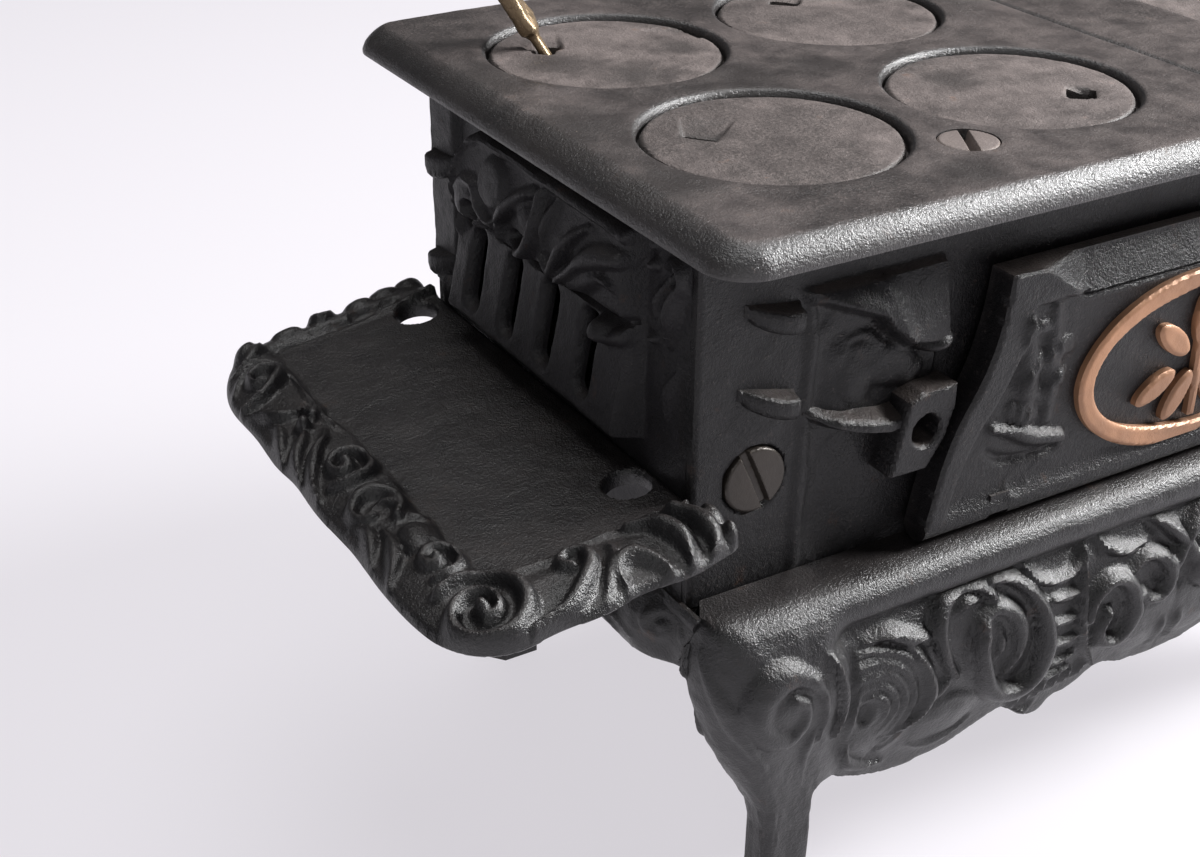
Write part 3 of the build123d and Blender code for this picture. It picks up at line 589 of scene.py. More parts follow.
    def place(u, v, w):
        return (edge_x + u * math.cos(droop) - w * math.sin(droop), v,
                edge_z + u * math.sin(droop) + w * math.cos(droop))

    def front(u, v):
        return place(u, v, height(u, v))

    def back(u, v):
        return place(u, v, -thick + 0.6 * rounded(distance_inside(u, v, loop), 1.0))

    points, quads = grid_shell(lines(-51, 3, STEP), lines(-68, 52, STEP), inside, front, back)
    make_piece("shelf_casting", "stove", ["side_shelf"], points, quads, cast_black)


side_shelf()


# ---- base: front and back castings with legs, side skirts ---------------
# Rows of height and the casting's size there. HIP: side x, front y at the corner, corner radius.
# FRONT_Y: front of the apron. SKIRT_X and SKIRT_IN: outer and inner faces of the side skirts.
HIP = np.array([(17, 98.6, -65.1, 2.8), (21, 97.6, -64.1, 2.6), (26, 97.0, -63.6, 2.4),
                (46, 97.0, -63.9, 2.6), (51, 98.0, -64.2, 3.0), (55, 100.0, -64.6, 3.8),
                (59, 102.4, -65.2, 5.0), (63, 104.8, -65.9, 6.5),
                (68, 107.2, -66.9, 8.5), (74, 109.2, -68.1, 10.5), (79, 110.6, -68.8, 11.5),
                (83, 111.3, -68.6, 11.5), (87, 111.4, -67.4, 10.0), (90, 111.0, -66.2, 8.5),
                (92.3, 110.6, -64.8, 7.0), (93.8, 110.2, -63.2, 5.5), (95, 109.9, -61.0, 4.0)])
FRONT_Y = np.array([(17, -64), (45, -60.8), (52, -62.2), (60, -64.2), (68, -65.2), (76, -65.0), (82, -63.4),
                    (85.6, -61.6), (86.4, -61.9), (87.4, -63.7), (89, -64.8), (90.6, -65.0), (92.3, -64.6),
                    (93.8, -63.4), (94.8, -61.6), (95, -60.6)])
SKIRT_X = np.array([(80.6, 113.4), (83, 114.4), (87, 115.1), (90, 114.6), (93, 112.8), (95, 111.0)])
SKIRT_IN = np.array([(80.6, 112.3), (92, 112.2), (95, 110.4)])
SEAM_Y = -53.5       # where the front casting meets the side skirt
FLAT = 80.0          # the apron is straight up to here, then the path turns round the hip
ARC_0, ARC_1, PATH_END = 108.0, 126.0, 143.0
LEG_IN = 87.2        # inner face of the leg
LEG_BACK = -53.4     # back face of the front legs
SHELL = 3.0          # thickness of the casting
BASE_MIDDLE_Y = -6.0 # the back casting mirrors the front one about this line
BODY_X = 109.4       # the castings lie flush with the body above them

BASE_LOOP = np.vstack([
    curve([(0, 50.4), (3.7, 50.6), (8.7, 51.0), (13.7, 53.0), (16.7, 53.3), (20.7, 50.6), (23.7, 49.2),
           (26.7, 48.7), (28.7, 46.2), (30.7, 45.4), (33.2, 46.4), (35.7, 48.5), (38.7, 50.8), (41.2, 51.9),
           (43.7, 51.4), (48.7, 49.2), (53.7, 47.4), (58.7, 46.8), (64, 46.5), (68.5, 46.9), (73.5, 48.2),
           (78.5, 50.3), (82.7, 52.2), (87.3, 53.2), (91.0, 53.3), (93.6, 51.6), (94.3, 47.5)], 0.8),
    [(94.2, 44), (93.6, 27), (92.2, 21), (90.6, 17), (136.4, 17), (136.0, 21), (135.4, 27), (135.6, 46)],
    curve([(135.7, 50), (136.6, 54), (139, 58.0), (143, 60.5)], 1.0),
    curve([(143.3, 60.5), (143.3, 70), (142.6, 78), (140, 82), (135.5, 86), (130.5, 89.7), (127, 93),
           (124.6, 95.2)], 1.0),
    [(-0.5, 95.2), (-0.5, 50.4)]])


def at_height(table, z, column=1):
    return np.interp(z, table[:, 0], table[:, column])


def hip_path(q, z):
    """Outer point and outward direction of the front casting at path place q, left side."""
    side, corner_y, radius = (at_height(HIP, z, k) for k in (1, 2, 3))
    straight = side - radius
    share = np.clip((q - FLAT) / (ARC_0 - FLAT), 0, 1)
    x = np.where(q < FLAT, q, FLAT + share * (straight - FLAT))
    swell = smooth((q - 82.0) / 11.0)
    y = at_height(FRONT_Y, z) * (1 - swell) + corner_y * swell
    nx, ny = np.zeros_like(x), -np.ones_like(x)
    turn = np.clip((q - ARC_0) / (ARC_1 - ARC_0), 0, 1) * math.pi / 2
    on_arc = q > ARC_0
    x = np.where(on_arc, straight + radius * np.sin(turn), x)
    y = np.where(on_arc, corner_y + radius - radius * np.cos(turn), y)
    nx = np.where(on_arc, np.sin(turn), nx)
    ny = np.where(on_arc, -np.cos(turn), ny)
    along = np.clip((q - ARC_1) / (PATH_END - ARC_1), 0, 1)
    on_side = q > ARC_1
    seam = side - 1.5 * smooth((92.0 - z) / 5.0) * smooth((z - 56.0) / 8.0)
    x = np.where(on_side, side + (seam - side) * smooth(along), x)
    y = np.where(on_side, corner_y + radius + along * (SEAM_Y - corner_y - radius), y)
    return x, y, nx, ny


def base_ornament():
    """Scrolls of the apron, drawn along q = distance left of the middle, and height."""
    r = Relief(-14, 146, 40, 97, shift=(2.3, 1.7))

    def s(points, *args, **more):
        r.stroke([(-x, z) for x, z in points], *args, **more)

    # soft lobes under the scrolls
    r.dome(57, 56, 9.5, 6.0, 1.3, -10)
    r.dome(71, 66, 11.5, 13.5, 1.6)
    r.dome(5, 62, 9.5, 9.0, 1.2)
    # shell: curved ribs round an eye, with a rolled rim
    for k, radius in enumerate((4.2, 6.4, 8.6, 10.8, 12.9)):
        arc = [(76 - radius * math.cos(a), 66 + radius * 0.98 * math.sin(a))
               for a in np.radians(np.linspace(112 - 3 * k, -62 - 4 * k, 12))]
        r.stroke(arc, 1.05, 2.5 - 0.16 * k, start=0.5, end=0.5, moat=0.35)
    r.dome(76.6, 66.4, 1.8, 2.6, 1.6, mode="cut")
    r.stroke([(80, 60), (80.2, 66), (78.5, 71), (76, 74)], 1.2, 1.9)
    s([(-76, 80.6), (-71, 80.8), (-66.5, 78.8), (-62, 77.8), (-60.4, 76)], 1.6, 2.6, end=0.5, moat=0.6)
    s([(-69, 79.6), (-65.4, 75.8), (-62.4, 70.6), (-61.4, 65.6), (-63.2, 61.2), (-67.6, 58.8), (-72, 58.6)],
      1.6, 2.9, moat=0.8)
    # crescent and stem at the lower edge
    s([(-79.6, 62), (-79.2, 57), (-76.6, 53.2), (-72.4, 50.8), (-67.6, 49.4)], 1.4, 1.7, moat=0.5)
    s([(-71.4, 56.6), (-71.8, 53), (-69.4, 50.4)], 1.4, 1.6, mode="cut")
    s([(-64.4, 56), (-62.4, 52.2), (-58, 50.2), (-52, 50.6), (-47.4, 52.4)], 1.3, 1.6, moat=0.5)
    s([(-58.4, 59.8), (-54.6, 61.4), (-51, 59.2), (-51.6, 55.6)], 1.1, 1.1)
    s([(-63.4, 62.4), (-59.4, 63.8), (-56.6, 66.6), (-56.2, 69.6)], 1.2, 1.5, moat=0.4)
    # great C scroll: left ear, outer roll, inner tongue
    s([(-54.8, 66.4), (-57.6, 71), (-59.6, 76.4), (-59.2, 81.4), (-56, 84.2), (-51.4, 84.2), (-47.6, 82),
       (-46.2, 79.6)], 1.9, 3.0, start=0.4, end=0.6, moat=0.8)
    s([(-55.6, 79.4), (-52.6, 81.4), (-49, 80.6)], 1.2, 2.0)
    s([(-46.6, 83.6), (-42, 82.6), (-37.6, 79), (-34.6, 73.6), (-33.3, 67), (-34, 60.6), (-37.6, 56.9),
       (-42.4, 57.4), (-46, 60.8), (-48.2, 66), (-49.6, 71.4), (-49.4, 76)], 2.3, 3.6, start=0.5, end=0.7,
      moat=1.1)
    s([(-49.8, 76.4), (-46.6, 78.2), (-42.6, 76.6), (-40.2, 72.2), (-40.4, 66.6), (-42.6, 62.6)],
      1.9, 2.5, start=0.7, end=0.4, moat=0.8)
    s([(-45.4, 74), (-44.4, 70), (-45.2, 66.4)], 1.2, 1.5)
    r.dome(37.6, 69.6, 1.5, 5.0, 1.4, mode="cut")
    s([(-41.6, 56.6), (-37.6, 54.6), (-34.4, 54.8)], 1.2, 1.4)
    # ribbed lyre
    s([(-38.6, 84.4), (-35.6, 80.6), (-31, 79.2), (-26.4, 80), (-23.2, 84)], 1.0, 2.2, 0.7, 0.7, moat=0.4)
    for rib, half in ((76, 0.8), (70.8, 1.0), (65.6, 1.0), (60.6, 0.9), (57, 0.9)):
        s([(-32.4, rib - 0.4), (-28.6, rib - 1.0), (-24.6, rib - 0.2)], half, 1.7, 0.9, 0.9)
    s([(-23.2, 85.4), (-24.4, 78.6), (-24.4, 70.6), (-22.6, 63), (-19.6, 57.6), (-17.6, 54.6)], 1.0, 2.6,
      0.8, 0.8, moat=0.4)
    for k in range(6):
        foot = -36.4 + 3.1 * k
        s([(foot + 1.2, 55.6 - 0.1 * k), (foot, 49.4 + 0.55 * k)], 0.9, 1.5, 0.8, 0.6)
    s([(-36.4, 48.6), (-32.4, 46.9), (-29.4, 48.8)], 1.3, 1.3)
    # eye volute
    s([(-22.4, 68), (-21.4, 72.6), (-17.6, 75.4), (-13.2, 73.8), (-10.6, 69.4), (-10.4, 63.6), (-13.2, 60),
       (-17, 60.6), (-18.6, 64.4), (-17.2, 68)], 2.0, 3.2, start=0.6, end=0.6, moat=0.9)
    r.dome(14.6, 65, 1.9, 2.5, 2.4, mode="cut")
    # upper loop towards the middle
    s([(-13.4, 87), (-6.6, 85.2), (-0.6, 80.8), (4.4, 74.8), (8, 66.6)], 1.7, 2.8, start=0.4, end=0.7,
      moat=0.8)
    s([(-20.4, 85.6), (-17.4, 81.6), (-12.6, 79.8), (-7.4, 80)], 1.3, 2.1, moat=0.5)
    s([(-11.6, 75.4), (-8.2, 77.4), (-4, 76.4), (-1.4, 72.6), (-2.2, 68.4), (-5.6, 67.2), (-8.4, 69.6)],
      1.8, 3.0, start=0.5, end=0.6, moat=0.9)
    s([(-9.6, 64.6), (-6.4, 62), (-3.6, 58.2)], 1.2, 1.4)
    s([(-6, 56), (-2.4, 60.8), (0, 66.4)], 1.1, 1.3)
    s([(0, 52.8), (0, 58), (0, 63)], 1.6, 1.8)
    # hip: crested leaf at its inner side and a broad soft swirl
    s([(-91.4, 87.6), (-88.4, 82.6), (-85.6, 76.4), (-84.4, 69.6), (-86, 64.4)], 2.0, 2.6, start=0.3, end=0.3,
      moat=0.7)
    s([(-86.4, 83.6), (-83.2, 79.4), (-82.2, 74.4)], 1.3, 1.6)
    r.stroke([(92.4, 66), (92, 73), (95, 80), (101, 83.6), (107.6, 82.6), (111, 77), (109, 71.4),
              (103.6, 69.4),
              (99.4, 72), (99, 76.4), (102.4, 78.4)], 3.0, 1.9, start=0.25, end=0.5, moat=0.5)
    r.dome(103.6, 75.4, 4.6, 4.0, 0.9, 20)
    s([(-93.4, 70), (-95.6, 64.4), (-95.4, 58.6)], 1.6, 0.9)
    r.stroke([(121, 88), (117, 80), (113.6, 71), (108.6, 63)], 2.4, 1.2, moat=0.4)
    r.volute(133, 84, 6.4, 1.5, 200, -230, 1.9, 1.5, eye=1.6, moat=0.5)
    r.stroke([(129, 72), (134, 67), (139, 64)], 1.7, 1.1)
    return r.blur(0.34)


def base_castings():
    """Front casting, wrapped round both hips, and its mirror image at the back."""
    ornament = base_ornament()
    cells = 0.58

    def inside(q, z):
        return distance_inside(np.abs(q), z, BASE_LOOP)

    def height(q, z):
        a = np.abs(q)
        drawn = np.maximum(ornament.at(a, z), ornament.at(-a, z))
        calm = smooth((z - 52.0) / 6.0) + (1 - smooth((z - 52.0) / 6.0)) * (a < 84)
        calm = calm * smooth((86.8 - z) / 1.6 + 6.0 * (a > 92) * smooth((a - 92) / 6))
        skin = cast_skin(q, z, 21, 1.0 + 0.8 * smooth((a - 84) / 8))
        return 0.95 * drawn * calm - rounded(inside(q, z), 0.9) * (z > 20) + skin * smooth((94.6 - z) / 3)

    def front(q, z):
        x, y, nx, ny = hip_path(np.abs(q), z)
        h = height(q, z)
        return -np.sign(q) * (x + nx * h), y + ny * h, z

    def back(q, z):
        a = np.abs(q)
        x, y, nx, ny = hip_path(a, z)
        inner_x, inner_y = x - nx * SHELL, y - ny * SHELL
        leg_side = at_height(HIP, z, 1)
        straight = np.maximum(leg_side - at_height(HIP, z, 3) - FLAT, 1)
        begins = FLAT + (ARC_0 - FLAT) * (LEG_IN - FLAT) / straight
        t = np.clip((a - begins) / (117.0 - begins), 0, 1)
        r = np.clip((a - 117.0) / (135.5 - 117.0), 0, 1)
        post_x = np.where(a < begins, x, np.minimum(LEG_IN + (leg_side - LEG_IN) * r, leg_side - SHELL))
        post_y = np.maximum(y + SHELL * (a < 117), y + (LEG_BACK - y) * t)
        post_y = np.where(a > 117, LEG_BACK, post_y)
        solid = 1 - smooth((z - 50.0) / 13.0)
        inner_x = inner_x + (post_x - inner_x) * solid
        inner_y = inner_y + (post_y - inner_y) * solid
        top = smooth((z - 87.5) / 4.0)
        flush_x = np.minimum(inner_x, BODY_X)
        inner_x = inner_x + (flush_x - inner_x) * top
        inner_y = inner_y + (np.maximum(inner_y, LEG_BACK) - inner_y) * top
        return -np.sign(q) * inner_x, inner_y, z

    half = np.concatenate([lines(0, ARC_0, cells), lines(ARC_0, ARC_1, cells)[1:],
                           lines(ARC_1, PATH_END, cells)[1:]])
    qs = np.concatenate([-half[:0:-1], half])
    zs = np.concatenate([lines(17, 21, 1.0), lines(21, 44, 2.0)[1:], lines(44, 95, cells)[1:]])
    points, quads = grid_shell(qs, zs, inside, front, back, wall_rows=3)
    make_piece("base_front_casting", "stove", ["base_front"], points, quads, cast_black)
    mirrored = points * (1, -1, 1) + (0, 2 * BASE_MIDDLE_Y, 0)
    make_piece("base_back_casting", "stove", ["base_back"], mirrored, quads, cast_black)


def base_skirts():
    """Narrow flared plates between the front and back castings."""
    r = Relief(-60, 48, 78, 97)
    for turn in (-1, 1):
        r.volute(-6 + turn * 44, 89.6, 4.4, 1.0, 90 - 90 * turn, 90 - 90 * turn + turn * 380, 1.5, 1.7,
                 eye=1.2,
                 moat=0.5)
        r.stroke([(-6 + turn * 38, 84.6), (-6 + turn * 31, 87.6), (-6 + turn * 24, 90.8),
                  (-6 + turn * 17, 91.4)],
                 1.3, 1.5, moat=0.4)
        r.stroke([(-6 + turn * 33, 82.4), (-6 + turn * 25, 84.8), (-6 + turn * 16, 86.8),
                  (-6 + turn * 8, 86.0)],
                 1.3, 1.5, moat=0.4)
    r.dome(-6, 86.4, 3.6, 3.6, 1.8)
    r.blur(0.34)
    cut = curve([(-58.5, 84.2), (-54, 83.2), (-49, 81.6), (-42, 80.9), (-6, 80.7), (30, 80.9), (37, 81.6),
                 (42, 83.2), (46.5, 84.2)], 1.2)
    loop = np.vstack([cut, [(46.5, 96), (-58.5, 96)]])

    def inside(y, z):
        ends = np.abs(y + 6) - 47.6 - 0.3 * (z - 79)
        return np.maximum(distance_inside(y, z, loop), np.maximum(z - 95.0, ends))

    def middle(y):
        return smooth((47.0 - np.abs(y + 6)) / 10.0)

    def front(y, z):
        h = r.at(y, z) * smooth((94 - z) / 3) * (0.35 + 0.65 * middle(y)) + cast_skin(y, z, 31)
        near_hip = at_height(HIP, z) + 0.25
        x = near_hip + (at_height(SKIRT_X, z) - near_hip) * middle(y)
        return -(x + h - rounded(inside(y, z), 0.5)), y, z

    def back(y, z):
        x = at_height(SKIRT_IN, z) - 2.2 * (1 - middle(y)) * smooth((94 - z) / 3)
        top = smooth((z - 87.5) / 4.0) * smooth((39.5 - np.abs(y + 6)) / 2.0)
        return -(x + (BODY_X - x) * top), y, z

    cells = 0.5
    points, quads = grid_shell(lines(-58.5, 46.5, cells), lines(80.2, 95, cells), inside, front, back)
    make_piece("left_skirt_casting", "stove", ["base_left_skirt"], points, quads, cast_black)
    make_piece("right_skirt_casting", "stove", ["base_right_skirt"], points * (-1, 1, 1), quads, cast_black)


base_castings()
base_skirts()


# ---- front panel --------------------------------------------------------
BODY_HALF, BODY_LOW, BODY_HIGH = 109.0, 93.0, 160.0    # the box that the four walls make
LUG_HOLE, LUG_HOLE_R, LUG_FACE_Y = (-64.7, 118.8), 3.0, -58.8
FRONT_FACE_Y = -53.0
LUG = [(-69.1, 125.2), (-66.2, 126.4), (-58.4, 126.4), (-58.5, 122.3), (-60.0, 116.5), (-63.9, 110.8),
       (-72.0, 111.2)]


def mock_fire_door(x, z):
    """Draped hood over a rough hollow, in millimetres ahead of the column face."""
    lip = np.interp(x, [-89.5, -84, -79, -75.2, -73.2, -69.2, -66, -60],
                    [148.2, 146.4, 144.6, 143.0, 140.2, 136.6, 136.0, 134.4])
    out = np.interp(x, [-90, -86, -80, -74, -66, -60.6], [0.2, 2.4, 4.2, 5.0, 5.0, 4.5])
    rise = np.clip((z - lip) / np.maximum(148.8 - lip, 0.6), 0, 1)
    face = out + (1.5 - out) * rise**1.15
    hollow = 0.9 * smooth((x + 87) / 8) + 0.55 * lumps(x, z, 4.5, 41)
    under = hollow + (out - hollow) * (1 - smooth((lip - z) / 2.6))
    crease = 0.7 * np.exp(-((x + 71 + 0.45 * (z - 140)) / 1.6) ** 2) * (z > lip)
    drape = np.where(z > lip, face, under) + crease
    return drape * smooth((149.0 - z) / 0.9) * smooth((x + 90) / 2.4) * smooth((-59.7 - x) / 0.9) * (z > 122)


def ledge_shell():
    """Bowed shelf under the mock fire door, as a plan shape with a top and an underside."""
    xs = [-88.5, -86, -82, -76, -66, -64, -62.6, -61.8]
    outs = [0.0, 1.8, 3.9, 5.0, 5.0, 4.6, 3.0, 0.0]

    def out(x):
        return np.interp(x, xs, outs)

    def inside(x, y):
        return np.maximum(np.maximum(-88.6 - x, x + 61.7), FRONT_FACE_Y - out(x) - y)

    def share(x, y):
        return np.clip((FRONT_FACE_Y - y) / np.maximum(out(x), 0.4), 0, 1)

    def top(x, y):
        wall = np.interp(x, [-88, -84, -79, -72, -66, -61.5], [127.6, 126.0, 124.8, 123.5, 124.1, 125.2])
        t = share(x, y)
        return x, y, wall - 1.3 * t - 0.7 * rounded(-(1 - t) * 3.0, 1.0) + cast_skin(x, y, 45)

    def bottom(x, y):
        wall = np.interp(x, [-88, -84, -79, -72, -66, -61.5], [125.2, 122.6, 120.8, 119.2, 120.0, 121.0])
        return x, y, wall + 1.1 * share(x, y) ** 2

    return grid_shell(lines(-88.6, -61.7, STEP), lines(-58.1, -50.8, 0.7 * STEP), inside, top, bottom)


def lump_shell(axis_u, wall, sense, ends, tops, depth, tall):
    """Hanging half-moon lump on a wall; plan is u along the wall and w away from it."""
    def reach(u):
        t = (u - ends[0]) / (ends[1] - ends[0])
        return depth * np.interp(t, [0, 0.15, 0.35, 0.55, 0.75, 0.92, 0.98, 1.0],
                                 [0, 0.38, 0.70, 0.90, 1.0, 0.95, 0.8, 0])

    def inside(u, w):
        return np.maximum(w - reach(u), np.maximum(ends[0] - u, u - ends[1]))

    def share(u, w):
        return np.clip(w / np.maximum(reach(u), 0.5), 0, 1)

    def place(u, w, z):
        return (u, wall + sense * w, z) if axis_u == "x" else (wall + sense * w, u, z)

    def top(u, w):
        z = tops[0] + (tops[1] - tops[0]) * (u - ends[0]) / (ends[1] - ends[0]) - 0.3 * w
        return place(u, w, z - 0.7 * rounded(-(1 - share(u, w)) * 2.6, 0.7) + 0.6 * cast_skin(u, w, 47))

    def bottom(u, w):
        z = tops[0] + (tops[1] - tops[0]) * (u - ends[0]) / (ends[1] - ends[0]) - 1.2 - 0.3 * w
        belly = np.sqrt(np.clip(1 - share(u, w) ** 2, 0, 1))
        return place(u, w, z - (1.2 + tall * belly) * np.clip(reach(u) / depth, 0.1, 1) ** 0.6)

    return grid_shell(lines(*ends, 0.8 * STEP), lines(-1.6, depth * 1.25, 0.7 * STEP), inside, top, bottom)


def mirrored(shell):
    """The same shell at the other end of the stove."""
    points, quads = shell
    return points * (-1, 1, 1), quads[:, ::-1]


def lug_hole(x, z):
    return LUG_HOLE_R - np.hypot(x - LUG_HOLE[0], z - LUG_HOLE[1])


def front_wall():
    """Front casting; its two columns are mirror images."""
    r = Relief(-112, -42, 91, 162)
    r.stroke([(-87.4, 96), (-87.2, 108), (-87, 118), (-87, 126)], 1.5, 0.7, 0.8, 0.8)
    r.stroke([(-87, 127), (-86.6, 136), (-87.2, 146)], 1.2, 0.8, 0.9, 0.9)
    r.dome(-80, 107, 6.0, 13.0, 0.7, mode="cut")
    r.dome(-70.6, 131.2, 6.6, 4.2, 1.3, -20)
    r.dome(-77.4, 130.0, 3.6, 5.4, 0.9, 10)
    r.dome(-66, 128.4, 3.4, 2.0, 1.2, 20)
    r.dome(-75.6, 134.6, 3.8, 2.2, 0.9, -30)
    r.stroke([(-80, 137.6), (-76.4, 138.2), (-73, 135.2), (-70.6, 132.4)], 1.0, 0.9)
    r.blur(0.3)

    def inside(x, z):
        a = -np.abs(x)
        s = np.maximum(np.maximum(np.abs(x) - BODY_HALF, z - BODY_HIGH), BODY_LOW - z)
        s = np.maximum(s, -distance_box(x, z, -43, 43, 99, 139))
        return np.maximum(s, lug_hole(a, z))

    def height(x, z):
        a = -np.abs(x)
        column = np.minimum(distance_box(a, z, -112, -59.6, 125.5, 170),
                            distance_box(a, z, -112, -73, 80, 170))
        raised = np.minimum(column, distance_box(x, z, -46, 46, 97, 142))
        h = 2.0 * smooth((0.5 - raised) / 1.0) - 2.0
        h = np.maximum(h, mock_fire_door(a, z) - 2.0 * (a > -59.6))
        knob = np.hypot((a + 61.8) * 0.94 + (z - 134.3) * 0.34,
                        ((z - 134.3) * 0.94 - (a + 61.8) * 0.34) * 1.9)
        h = np.maximum(h, 5.4 * np.sqrt(np.clip(1 - (knob / 3.6) ** 2, 0, 1)))
        h = h + r.at(a, z) * (a < -60) - 1.25 * smooth((6.5 - np.hypot(a + 96.6, z - 115.7)) / 0.7)
        return h - 0.6 * rounded(inside(x, z), 0.8) + cast_skin(x, z, 43, 1.2)

    def front(x, z):
        return x, FRONT_FACE_Y - height(x, z), z

    def back(x, z):
        return x, -48.5, z

    cells = 0.6
    side = lines(45, 109, cells)
    xs = np.concatenate([-side[::-1], lines(-45, 45, 1.8)[1:-1], side])
    zs = np.concatenate([lines(93, 119, 0.75), lines(119, 149.5, 0.6 * cells)[1:],
                         lines(149.5, 160, 1.0)[1:]])
    wall = grid_shell(xs, zs, inside, front, back)

    def lug_inside(x, z):
        return np.maximum(distance_inside(x, z, LUG), lug_hole(x, z))

    def lug_face(x, z):
        return x, LUG_FACE_Y + 0.9 * rounded(lug_inside(x, z), 0.8) - 0.8 * cast_skin(x, z, 49), z

    lug = grid_shell(lines(-72.2, -58.2, STEP), lines(110.6, 126.6, STEP), lug_inside, lug_face,
                     lambda x, z: (x, -49.4, z))
    extras = [lug, ledge_shell(), lump_shell("x", FRONT_FACE_Y, -1, (-100.4, -89.6), (148.4, 146.8), 3.3,
                                             2.6),
              lump_shell("x", FRONT_FACE_Y, -1, (-101.0, -89.6), (133.6, 131.0), 3.3, 2.4)]
    extras += [mirrored(shell) for shell in extras]

    def ear_inside(y, z):
        return np.maximum(np.hypot(np.maximum(-57.3 - y, 0), z - 98.6) - 2.25, y + 50.6)

    def ear(sign):
        def face(x):
            return lambda y, z: (sign * (x + np.copysign(0.3, x - 46.5) * -rounded(ear_inside(y, z), 0.5)),
                                 y, z)
        return grid_shell(lines(-59.8, -50.4, 0.5), lines(96.2, 101.0, 0.5), ear_inside, face(48.3),
                          face(44.7))

    points, quads = merge(wall, ear(1), ear(-1), *extras)
    # The front casting wears the paint with painted shade and painted top light.
    make_piece("front_casting", "stove", ["front_panel"], points, quads, cast_front_shade_and_top_light)


front_wall()


# ---- side and back panels -----------------------------------------------
DRAFT_SLOTS = (-25.0, -11.5, 2.0, 15.5)     # y of each slot
SIDE_Y = (-51.0, 38.5)
SIDE_IN = 106.5                             # inner face of both ends


def draft_relief():
    """Flowing ornament above the draft slots; u is y, v is z."""
    r = Relief(-54, 42, 92, 162, shift=(-1.2, 0.8))
    r.stroke([(-39.5, 155.4), (-30, 156.2), (-16, 156.4), (0, 156.6), (14, 156.4), (18, 155)], 1.3, 1.1, 1,
             0.8)
    r.stroke([(18, 156), (22.6, 151.6), (24.6, 146), (25.4, 139.6), (24.2, 134.5)], 1.4, 1.3, 0.8, 0.6)
    r.stroke([(-40, 152), (-34, 151.4), (-28, 149.4), (-22, 144.6), (-15, 140.6)], 2.2, 2.0, 0.5, 0.6,
             moat=1.1)
    r.stroke([(-34, 146.6), (-30, 146.8), (-25, 143.8), (-20, 141.2)], 1.5, 1.2, 0.4, 0.6, moat=0.8)
    r.stroke([(-24.6, 153.4), (-20, 149.6), (-16.6, 144.8), (-14.2, 142), (-11.4, 143.8)], 1.6, 1.8, 0.4, 0.6,
             moat=1.0)
    r.stroke([(-14, 154.4), (-11.6, 149.4), (-11.2, 145.4)], 1.3, 1.1, 0.5, 0.5)
    r.stroke([(-9.2, 154.4), (-8.8, 149.6), (-7.4, 145), (-3.8, 141.2), (0.4, 139.8), (5, 140.4)], 1.5, 1.9,
             0.6,
             0.5, moat=1.0)
    r.stroke([(-6.4, 153.4), (-3, 151.6), (0.6, 148.6), (3.8, 145.2), (4.2, 141.6)], 1.6, 1.9, 0.6, 0.6,
             moat=0.9)
    r.dome(-4.6, 148.2, 2.6, 4.2, 0.9, -20)
    r.dome(-0.2, 142.7, 2.4, 1.3, 2.2, mode="cut")
    r.dome(7.8, 150.2, 5.2, 4.9, 1.5)
    r.dome(7.8, 150.2, 3.6, 3.4, 0.4, mode="cut")
    r.stroke([(5, 145), (9, 142.4), (12.8, 144.2), (14.2, 147.6), (18.6, 147.8), (22.4, 145)], 1.3, 1.3, 0.5,
             0.6,
             moat=0.7)
    r.dome(18.4, 142.6, 5.0, 5.0, 1.3)
    r.dome(16.2, 142.4, 2.1, 2.0, 2.8, mode="cut")
    r.dome(21.3, 139.2, 1.9, 1.8, 2.6, mode="cut")
    r.stroke([(-40, 139.0), (-36, 138.4), (-32.4, 136.8)], 1.6, 1.7, 0.5, 0.9)
    r.dome(-29.6, 137.0, 3.0, 2.7, 2.6)
    r.stroke([(-40, 140.9), (-25, 140.4), (-8, 139.6), (9, 139.4)], 0.9, 1.1, 0.9, 0.9, mode="cut")
    r.stroke([(-49, 152), (-46.6, 148.6), (-45.2, 144.2), (-44.2, 139.6)], 1.8, 2.0, 0.6, 0.3)
    r.stroke([(-43.4, 150.6), (-41.2, 146), (-42, 141.6)], 1.3, 1.3)
    r.volute(-46.6, 152, 3.2, 1.0, 20, 380, 1.2, 1.6)
    r.stroke([(-47, 136), (-44.6, 131), (-43.4, 126)], 1.5, 1.1)
    return r.blur(0.3)


def draft_reach(y, z):
    """How far the draft chamber stands out from the panel."""
    reach = np.interp(z, [119.5, 120.2, 121.2, 139.2, 140.3, 142.0, 149.0, 156.2, 157.8, 158.8],
                      [0, 4.7, 6.1, 2.7, 2.8, 4.3, 4.6, 3.3, 2.2, 0])
    edge = np.interp(z, [119, 140, 147.5, 152.5, 157.5, 159], [25.6, 25.1, 24.2, 22.1, 17.4, 15])
    return reach * smooth((edge - y) / 1.7) * smooth((y + 38.8) / 2.4)


